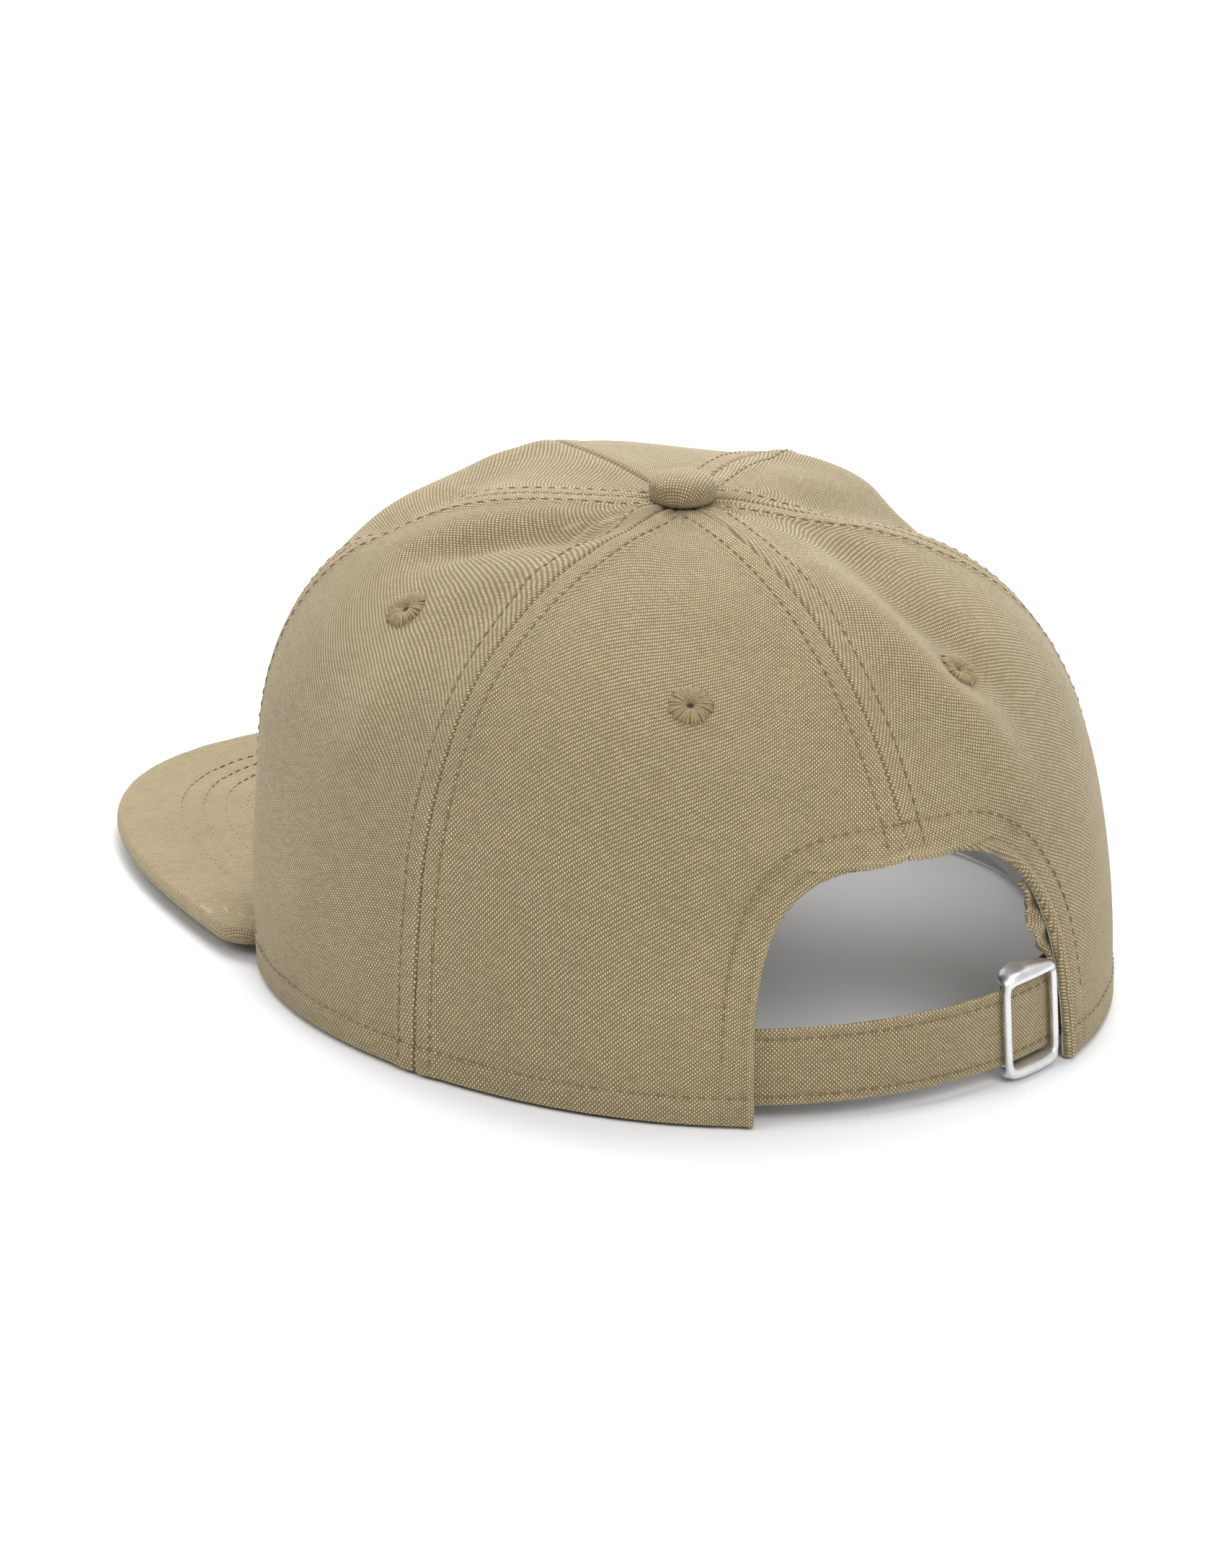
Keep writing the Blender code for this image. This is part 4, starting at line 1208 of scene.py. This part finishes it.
def make_facing(material):
    """The tape behind the rear arch's hem."""
    turns = np.radians(np.linspace(0.0, 180.0, 121))[:, None]
    margin = np.linspace(*FACING_MARGIN, 12)[None]
    piece = lining_sheet("arch_facing_tape", *round_arch(turns, margin), FACING_DEPTH, turns * 45.0, margin)
    place_piece(piece, material, "lining", "rear_arch_facing")


def arch_edge_angle(height):
    """Angle of the arch's right-hand edge at a height."""
    share = np.clip(1 - (height / ARCH_HEIGHT) ** ARCH_EXPONENT, 0.0, 1.0)
    return REAR_SEAM + np.degrees(ARCH_HALF_WIDTH * share ** (1 / ARCH_EXPONENT) / ARCH_RADIUS)


def make_arch_fold(cloth):
    """The crumpled end of the hem allowance, turned in behind the arch beside the buckle."""
    heights = np.linspace(*HEM_END_HEIGHTS, 60)[:, None]
    across = np.linspace(-5.0, 1.0, 28)[None]
    reach = 3.2 * smoothstep(22.0, 26.0, heights) * (1 - smoothstep(30.0, 38.0, heights))
    crumple = 0.5 * np.sin(heights * 0.7) + 0.12 * np.sin(heights * 1.9 + 1.0)
    inward = np.where(across > 0, across * (reach + crumple), across)
    angle = arch_edge_angle(heights) - np.degrees(inward / ARCH_RADIUS)
    t = level(angle, heights)
    depth = 3.4 + 0.6 * np.sin(heights * 0.8 + inward * 0.5) + 0.15 * np.sin(heights * 1.7 - inward)
    half = 0.7 * np.sqrt(np.clip(1 - np.clip(across, 0.0, 1.0) ** 4, 0.05, 1.0))
    piece = lining_sheet("arch_hem_end", angle, t, (depth - half, depth + half), inward, heights)
    place_piece(piece, cloth, "canvas")


def band_shell(end_angle, extra, thickness, low, high, flare):
    """A strip inside the lower edge: it starts at the hem and stands off behind the strap."""
    fine = np.linspace(low, low + 4.0, 12, endpoint=False)
    heights = np.concatenate((fine, np.linspace(low + 4.0, high, 22)))
    angle = np.broadcast_to(np.linspace(-end_angle, end_angle, 260)[:, None], (260, len(heights)))
    rear = smoothstep(*BAND_SETBACK, np.abs(angle))
    depth = BAND_DEPTH[0] + (BAND_DEPTH[1] - BAND_DEPTH[0]) * rear + extra
    if flare:
        depth = depth - (depth - 2.4) * (1 - smoothstep(0.0, 1.0, (heights - low) / (4.5 - 2.4 * rear)))
    fold = 0.18 * waviness(bare_point(angle, np.full(angle.shape, 0.1)), 55.0, 12)
    t = level(angle, rim_height(angle) + heights)
    outer = off_crown(angle, t, -depth - fold)
    return angle, heights, outer, outer - bare_normal(angle, t) * thickness


def band_piece(name, material, slot, node, *shape):
    """One layer of the sweatband; returns its heights and its two faces."""
    angle, heights, outer, inner = band_shell(*shape)
    piece = sheet(name, outer, inner, np.radians(angle) * CROWN_RADIUS, heights[None])
    place_piece(piece, material, slot, node)
    return heights, outer, inner


def make_sweatband(cotton, stiffener, thread):
    """The band with its two rows of stitches, and the interlining between it and the panels."""
    shape = (BAND_END, 0.0, BAND_CLOTH, 0.7, BAND_HEIGHT, True)
    heights, outer, inner = band_piece("sweatband_cotton", cotton, "lining", "sweatband", *shape)
    for row, height in BAND_ROWS.items():
        column = int(np.argmin(np.abs(heights - height)))
        normal = unit(inner[:, column] - outer[:, column])
        sew(f"sweatband_stitch_{row}", inner[:, column], normal, thread, slot="lining", sink=0.18)
    shape = (PAD_END, -PAD_RISE, PAD_CLOTH, PAD_LOW, BAND_HEIGHT - 1.0, False)
    band_piece("sweatband_pad", stiffener, "stiffener", "sweatband_interlining", *shape)


# --- Adjuster ---

JOINTS = {joint["name"]: joint for joint in frame["joints"]}
STRAP_AXIS_Y = JOINTS["strap_slide"]["pos_m"][1] / MM
STRAP_LOW, STRAP_HIGH = node_box("adjuster_strap")
STRAP_RADIUS = 79.2
STRAP_LEAN = 0.075
STRAP_THICKNESS = 1.6
STRAP_ANGLES = (126.0, 238.0)
STRAP_EDGE = 0.8
STRAP_STITCH = 2.0
STRAP_GROOVE = (0.22, 0.5)
STRAP_FOLD_LINE = (0.18, 0.25)
BUCKLE_ANGLE = 199.8
PIVOT = np.array(JOINTS["buckle_tilt"]["pos_m"]) / MM
PIVOT_AXIS = np.array(JOINTS["buckle_tilt"]["axis"])
TAB_END = 217.0
TAB_DEPTH = STRAP_THICKNESS + 2.4
TAB_BEND = 1.6
TAB_HALF_CLOTH = 0.38
POCKET_ANGLES = (219.0, 250.0)
POCKET_DEPTH = (2.0, 2.6)
BUCKLE_HALF_WIDTH = 8.0
BUCKLE_HALF_HEIGHT = 9.65
BUCKLE_EXPONENT = 9.0
BUCKLE_STATIONS = 160
BUCKLE_SECTION = 20
BAR_OUT = 5.25
BAR_HALF_DEPTH = 0.75
BAR_HALF_WIDTH = 0.85
CENTRE_BAR_RADIUS = 0.9
BRIDGE_DOME = 1.3
BRIDGE_DEPTH = 5.2


def strap_point(angle, depth, height):
    """A point at a depth under the outer face of the strap's conical band."""
    radius = STRAP_RADIUS - STRAP_LEAN * height - depth
    turn = np.radians(angle)
    x = radius * np.sin(turn)
    y = STRAP_AXIS_Y - radius * np.cos(turn)
    return np.stack(np.broadcast_arrays(x, y, height), axis=-1)


def make_strap(cloth, thread):
    """A folded strap: two layers with soft edges, topstitched along both."""
    low, high = float(STRAP_LOW[2]), float(STRAP_HIGH[2])
    half = (high - low) / 2
    angles = np.linspace(*STRAP_ANGLES, 300)[::-1, None]
    across = np.sin(np.linspace(-math.pi / 2, math.pi / 2, 37))[None] * half
    heights = (high + low) / 2 + across
    from_edge = half - np.abs(across)
    round_off = 0.75 / STRAP_EDGE * round_over(from_edge, STRAP_EDGE)
    groove = ridge(STRAP_GROOVE, from_edge - STRAP_STITCH) + ridge(STRAP_FOLD_LINE, half - across - 0.9)
    ripple = 0.08 * np.abs(waviness(strap_point(angles, 0.0, heights), 9.0, 31))
    outer = strap_point(angles, round_off + groove + ripple, heights)
    inner = strap_point(angles, STRAP_THICKNESS - round_off - groove, heights)
    strap = sheet("strap_cloth", outer, inner, np.radians(angles) * STRAP_RADIUS, across)
    place_piece(strap, cloth, "strap_canvas", "adjuster_strap", body="strap")
    path_angle = np.linspace(STRAP_ANGLES[0] + 1, STRAP_ANGLES[1] - 1, 400)
    turn = np.radians(path_angle)
    normal = np.stack((np.sin(turn), -np.cos(turn), np.zeros(len(turn))), axis=-1)
    for row, height in (("low", low + STRAP_STITCH), ("high", high - STRAP_STITCH)):
        path = strap_point(path_angle, 0.18, height)
        sew(f"strap_stitch_{row}", path, normal, thread, body="strap", slot="strap_canvas", sink=0.2)


def make_tab(cloth):
    """The loop that holds the buckle's centre bar, doubled back behind the rear panel."""
    low, high = node_box("buckle_tab")
    straight = np.linspace(BUCKLE_ANGLE, TAB_END, 40)
    bend = np.radians(-90 - 180 * np.linspace(0, 1, 21)[1:-1])
    bend_angle = BUCKLE_ANGLE + np.degrees(TAB_BEND * np.cos(bend) / (STRAP_RADIUS - TAB_DEPTH))
    angle = np.concatenate((straight[::-1], bend_angle, straight))
    swing = np.concatenate((np.full(40, -1.0), np.sin(bend), np.ones(40)))
    heights = np.linspace(float(low[2]), float(high[2]), 19)[None]
    middle = strap_point(angle[:, None], (TAB_DEPTH + TAB_BEND * swing)[:, None], heights)
    out = unit(np.cross(np.gradient(middle, axis=0), np.array((0.0, 0.0, 1.0))))
    edge = TAB_HALF_CLOTH * np.sqrt(np.clip(1 - np.abs(np.linspace(-1, 1, 19)) ** 8, 0.06, 1))[None, :, None]
    length = travelled(middle[:, 0])[:, None]
    tab = sheet("tab_cloth", middle + out * edge, middle - out * edge, length, heights)
    place_piece(tab, cloth, "strap_canvas", "buckle_tab")


def make_pocket(cotton):
    """The slightly bowed patch that holds the strap's tail."""
    low, high = node_box("tuck_pocket")
    angles = np.linspace(*POCKET_ANGLES, 60)[::-1, None]
    heights = np.linspace(float(low[2]), float(high[2]), 21)[None]
    bow = 0.25 * np.sin(np.linspace(0, math.pi, 21))[None] * np.sin(np.linspace(math.pi, 0, 60))[:, None]
    outer, inner = (strap_point(angles, depth + bow, heights) for depth in POCKET_DEPTH)
    pocket = sheet("tuck_pocket_cotton", outer, inner, np.radians(angles) * 77.0, heights)
    place_piece(pocket, cotton, "lining", "tuck_pocket")


def make_buckle(steel):
    """A cast slide: two side bars, two lens-shaped bridges and a centre bar, all with soft edges."""
    turn = math.radians(BUCKLE_ANGLE)
    along = np.array((math.cos(turn), math.sin(turn), 0.0))
    up = unit(PIVOT_AXIS)
    out = np.cross(along, up)
    turns = np.linspace(0, 2 * math.pi, BUCKLE_STATIONS, endpoint=False)
    size = np.array((BUCKLE_HALF_WIDTH, BUCKLE_HALF_HEIGHT))
    path = np.stack(superellipse(turns, BUCKLE_EXPONENT), axis=-1) * size
    across, rise = (path / size).T
    arch = np.sqrt(np.clip(1 - across**2, 0, 1)) * smoothstep(0.86, 0.99, np.abs(rise))
    high = BAR_OUT + BAR_HALF_DEPTH + arch
    low = BAR_OUT - BAR_HALF_DEPTH - BRIDGE_DEPTH * arch**1.3
    tangent = unit(np.roll(path, -1, axis=0) - np.roll(path, 1, axis=0))
    sideways = np.stack((tangent[:, 1], -tangent[:, 0]), axis=-1)
    section = np.linspace(0, 2 * math.pi, BUCKLE_SECTION, endpoint=False)
    side_share, out_share = superellipse(section, 8 / 3)
    reach = side_share * BAR_HALF_WIDTH + BRIDGE_DOME * arch[:, None] * side_share.clip(0)
    plan = path[:, None] + sideways[:, None] * reach[..., None]
    outward = ((high + low)[:, None] + (high - low)[:, None] * out_share) / 2
    points = PIVOT + plan[..., :1] * along + plan[..., 1:] * up + outward[..., None] * out
    faces = ring_faces(BUCKLE_STATIONS, BUCKLE_SECTION)
    loop = new_piece("buckle_frame", points.reshape(-1, 3), faces, sharp=70.0)
    place_piece(loop, steel, "buckle_metal", "slide_buckle", body="buckle")
    heights = np.linspace(-BUCKLE_HALF_HEIGHT, BUCKLE_HALF_HEIGHT, 9)
    centre = (PIVOT + heights[:, None] * up)[None]
    sides = (np.broadcast_to(axis, centre.shape) for axis in (along, out))
    bar = tubes("buckle_centre_bar", centre, *sides, CENTRE_BAR_RADIUS, ring=16)
    place_piece(bar, steel, "buckle_metal", body="buckle")


# --- Stage ---

VIEW_AZIMUTH = 149.9
VIEW_ELEVATION = 19.15
VIEW_DISTANCE = 1.2
VIEW_ROLL = 0.34
VIEW_LENS = 127.65
TARGET_RIGHT = -13.5
TARGET_HEIGHT = 37.5
LIGHT_DISTANCE = 1.6
LIGHT_SIZE = 1.0
LIGHT_AIM = Vector((0, 0, 0.04))
WORLD_STRENGTH = 0.15
MIRRORED_WORLD = 0.8
INSIDE_POWER = 0.02
INSIDE_SIZE = 0.05
INSIDE_FROM = Vector((-50.0, CROWN_AXIS_Y - 25.0, 62.0)) * MM
INSIDE_TO = Vector((-84.0, CROWN_AXIS_Y - 4.0, 20.0)) * MM
FLOOR_FADE = (0.35, 1.2)
FLOOR_REACH = 6.0
FLOOR_HEIGHT = -0.0006
# Azimuth, elevation and power of each soft box.
LIGHTS = {
    "front_light": (0.0, 40.0, 13.0),
    "rear_light": (180.0, 40.0, 13.0),
    "top_light": (180.0, 86.0, 5.0),
    "right_low_light": (315.0, 10.0, 20.0),
    "right_high_light": (315.0, 65.0, 13.0),
    "left_light": (90.0, 40.0, 6.6),
}


def direction(azimuth, elevation):
    """Unit vector towards a place round the cap; azimuth 0 is in front of the brim."""
    turn, rise = math.radians(azimuth), math.radians(elevation)
    return Vector((math.sin(turn) * math.cos(rise), -math.cos(turn) * math.cos(rise), math.sin(rise)))


def link(name, data):
    thing = bpy.data.objects.new(name, data)
    bpy.context.scene.collection.objects.link(thing)
    return thing


def looking(position, facing):
    """The matrix of a lamp or camera at a position that looks along facing."""
    return Matrix.Translation(position) @ facing.to_track_quat("-Z", "Y").to_matrix().to_4x4()


def make_camera():
    back = direction(VIEW_AZIMUTH, VIEW_ELEVATION)
    right = (-back).cross(Vector((0, 0, 1))).normalized()
    target = (right * TARGET_RIGHT + Vector((0, CROWN_AXIS_Y - 0.8, TARGET_HEIGHT))) * MM
    data = bpy.data.cameras.new("camera")
    data.lens = VIEW_LENS
    data.sensor_width = 36.0
    data.clip_start = 0.05
    data.clip_end = 20.0
    camera = link("camera", data)
    roll = Matrix.Rotation(math.radians(VIEW_ROLL), 4, "Z")
    camera.matrix_world = looking(target + back * VIEW_DISTANCE, -back) @ roll
    bpy.context.scene.camera = camera


def area_light(name, position, facing, size, power):
    """A round soft lamp that the camera doesn't see."""
    data = bpy.data.lights.new(name, "AREA")
    data.shape = "DISK"
    data.size = size
    data.energy = power
    light = link(name, data)
    light.visible_camera = False
    light.matrix_world = looking(position, facing)


def make_lights():
    """Soft boxes round the cap, and a small lamp under the crown that opens up the lining."""
    for name, (azimuth, elevation, power) in LIGHTS.items():
        back = direction(azimuth, elevation)
        area_light(name, back * LIGHT_DISTANCE + LIGHT_AIM, -back, LIGHT_SIZE, power)
    area_light("inside_light", INSIDE_FROM, INSIDE_TO - INSIDE_FROM, INSIDE_SIZE, INSIDE_POWER)


def make_world():
    """A dim white surround that the camera sees as plain white and metal mirrors as a pale tent."""
    world = bpy.data.worlds.new("studio")
    world.use_nodes = True
    tree = world.node_tree
    path = node_of(tree, "ShaderNodeLightPath")
    mirrored = times(tree, path.outputs["Is Glossy Ray"], MIRRORED_WORLD)
    seen = calc(tree, "MAXIMUM", path.outputs["Is Camera Ray"], mirrored)
    strength = calc(tree, "MAXIMUM", seen, WORLD_STRENGTH)
    feed_all(tree, tree.nodes["Background"], {"Color": (1.0, 1.0, 1.0, 1.0), "Strength": strength})
    bpy.context.scene.world = world


def floor_material():
    """Pale paper that fades to plain white far from the cap."""
    material, tree, shader = new_material("floor_paper")
    surface = object_place(tree)
    distance = node_of(tree, "ShaderNodeVectorMath", operation="LENGTH")
    feed(tree, distance.inputs[0], surface)
    far = remap(tree, distance.outputs["Value"], *FLOOR_FADE, 0.0, 1.0)
    seen = node_of(tree, "ShaderNodeLightPath").outputs["Is Camera Ray"]
    feed_all(tree, shader, {
        "Base Color": (0.90, 0.91, 0.925, 1),
        "Emission Color": (1.0, 1.0, 1.0, 1.0),
        "Emission Strength": times(tree, far, seen),
        "Roughness": 1.0,
        "Specular IOR Level": 0.0,
    })
    return material


def make_stage():
    data = bpy.data.meshes.new("floor")
    signs = ((-1, -1), (1, -1), (1, 1), (-1, 1))
    corners = [(x * FLOOR_REACH, y * FLOOR_REACH, FLOOR_HEIGHT) for x, y in signs]
    data.from_pydata(corners, [], [(0, 1, 2, 3)])
    floor = dress(link("floor", data), floor_material())
    make_world()
    make_lights()
    bpy.context.scene.view_settings.view_transform = "Standard"
    bpy.context.scene.view_settings.look = "None"


def make_panels(canvas):
    for side, word in ((1.0, "left"), (-1.0, "right")):
        make_panel(f"front_{word}", 0.0, side * FRONT_SIDE_SEAM, canvas)
        make_panel(f"side_{word}", side * FRONT_SIDE_SEAM, side * SIDE_REAR_SEAM, canvas)
        make_panel(f"rear_{word}", side * SIDE_REAR_SEAM, side * REAR_SEAM, canvas)


def make_cap():
    shade, sand = (0.15, 0.11, 0.05), (0.73, 0.60, 0.37)
    canvas = canvas_material("canvas", shade, sand)
    strap_canvas = canvas_material("strap_canvas", shade, sand)
    # Painted light: the button's canvas is the crown canvas with its light tone about seven percent paler,
    # for the brighter light on top of the cap; its coarser weave is its own.
    button_canvas = canvas_material("button_canvas", shade, (0.78, 0.64, 0.40), pitch=0.52)
    # Painted shade: the underside's canvas is the crown canvas darkened by about seven percent, for the
    # shade under the brim.
    under_shaded_canvas = canvas_material("under_brim_canvas", (0.14, 0.103, 0.047), (0.68, 0.56, 0.345))
    tape = canvas_material("lining_tape", (0.42, 0.42, 0.41), (0.66, 0.66, 0.65), pitch=0.5)
    facing = canvas_material("facing_tape", (0.66, 0.66, 0.65), (0.88, 0.88, 0.87), pitch=0.5)
    cotton = canvas_material("sweatband_twill", (0.40, 0.40, 0.395), (0.62, 0.62, 0.61), pitch=0.35)
    buckram = canvas_material("buckram_mesh", (0.40, 0.40, 0.39), (0.68, 0.68, 0.66), pitch=0.9, bump=0.3)
    thread = thread_material("sewing_thread", (0.24, 0.17, 0.085))
    eyelet_thread = thread_material("eyelet_thread", (0.31, 0.23, 0.12))
    pale_thread = thread_material("pale_thread", (0.55, 0.55, 0.54))
    buckle_steel = metal_material("buckle_nickel", (0.76, 0.76, 0.76), 0.36, 2400.0)
    plain_steel = metal_material("button_steel", (0.6, 0.6, 0.6), 0.4, 1500.0)
    make_panels(canvas)
    sew_seams(thread)
    sew_hems(thread)
    for name in EYELETS:
        make_eyelet(name, eyelet_thread)
    make_button(button_canvas, plain_steel)
    make_brim_cover("brim_top_cloth", "brim_top_cover", "canvas", canvas, True)
    make_brim_cover("brim_under_cloth", "brim_under_cover", "under_brim_canvas", under_shaded_canvas, False)
    sew_brim(thread)
    make_brim_board(board_material())
    make_tapes(tape)
    make_buckram(buckram)
    make_facing(facing)
    make_arch_fold(canvas)
    make_sweatband(cotton, buckram, pale_thread)
    make_strap(strap_canvas, thread)
    make_tab(strap_canvas)
    make_pocket(cotton)
    make_buckle(buckle_steel)


make_cap()
make_camera()
make_stage()
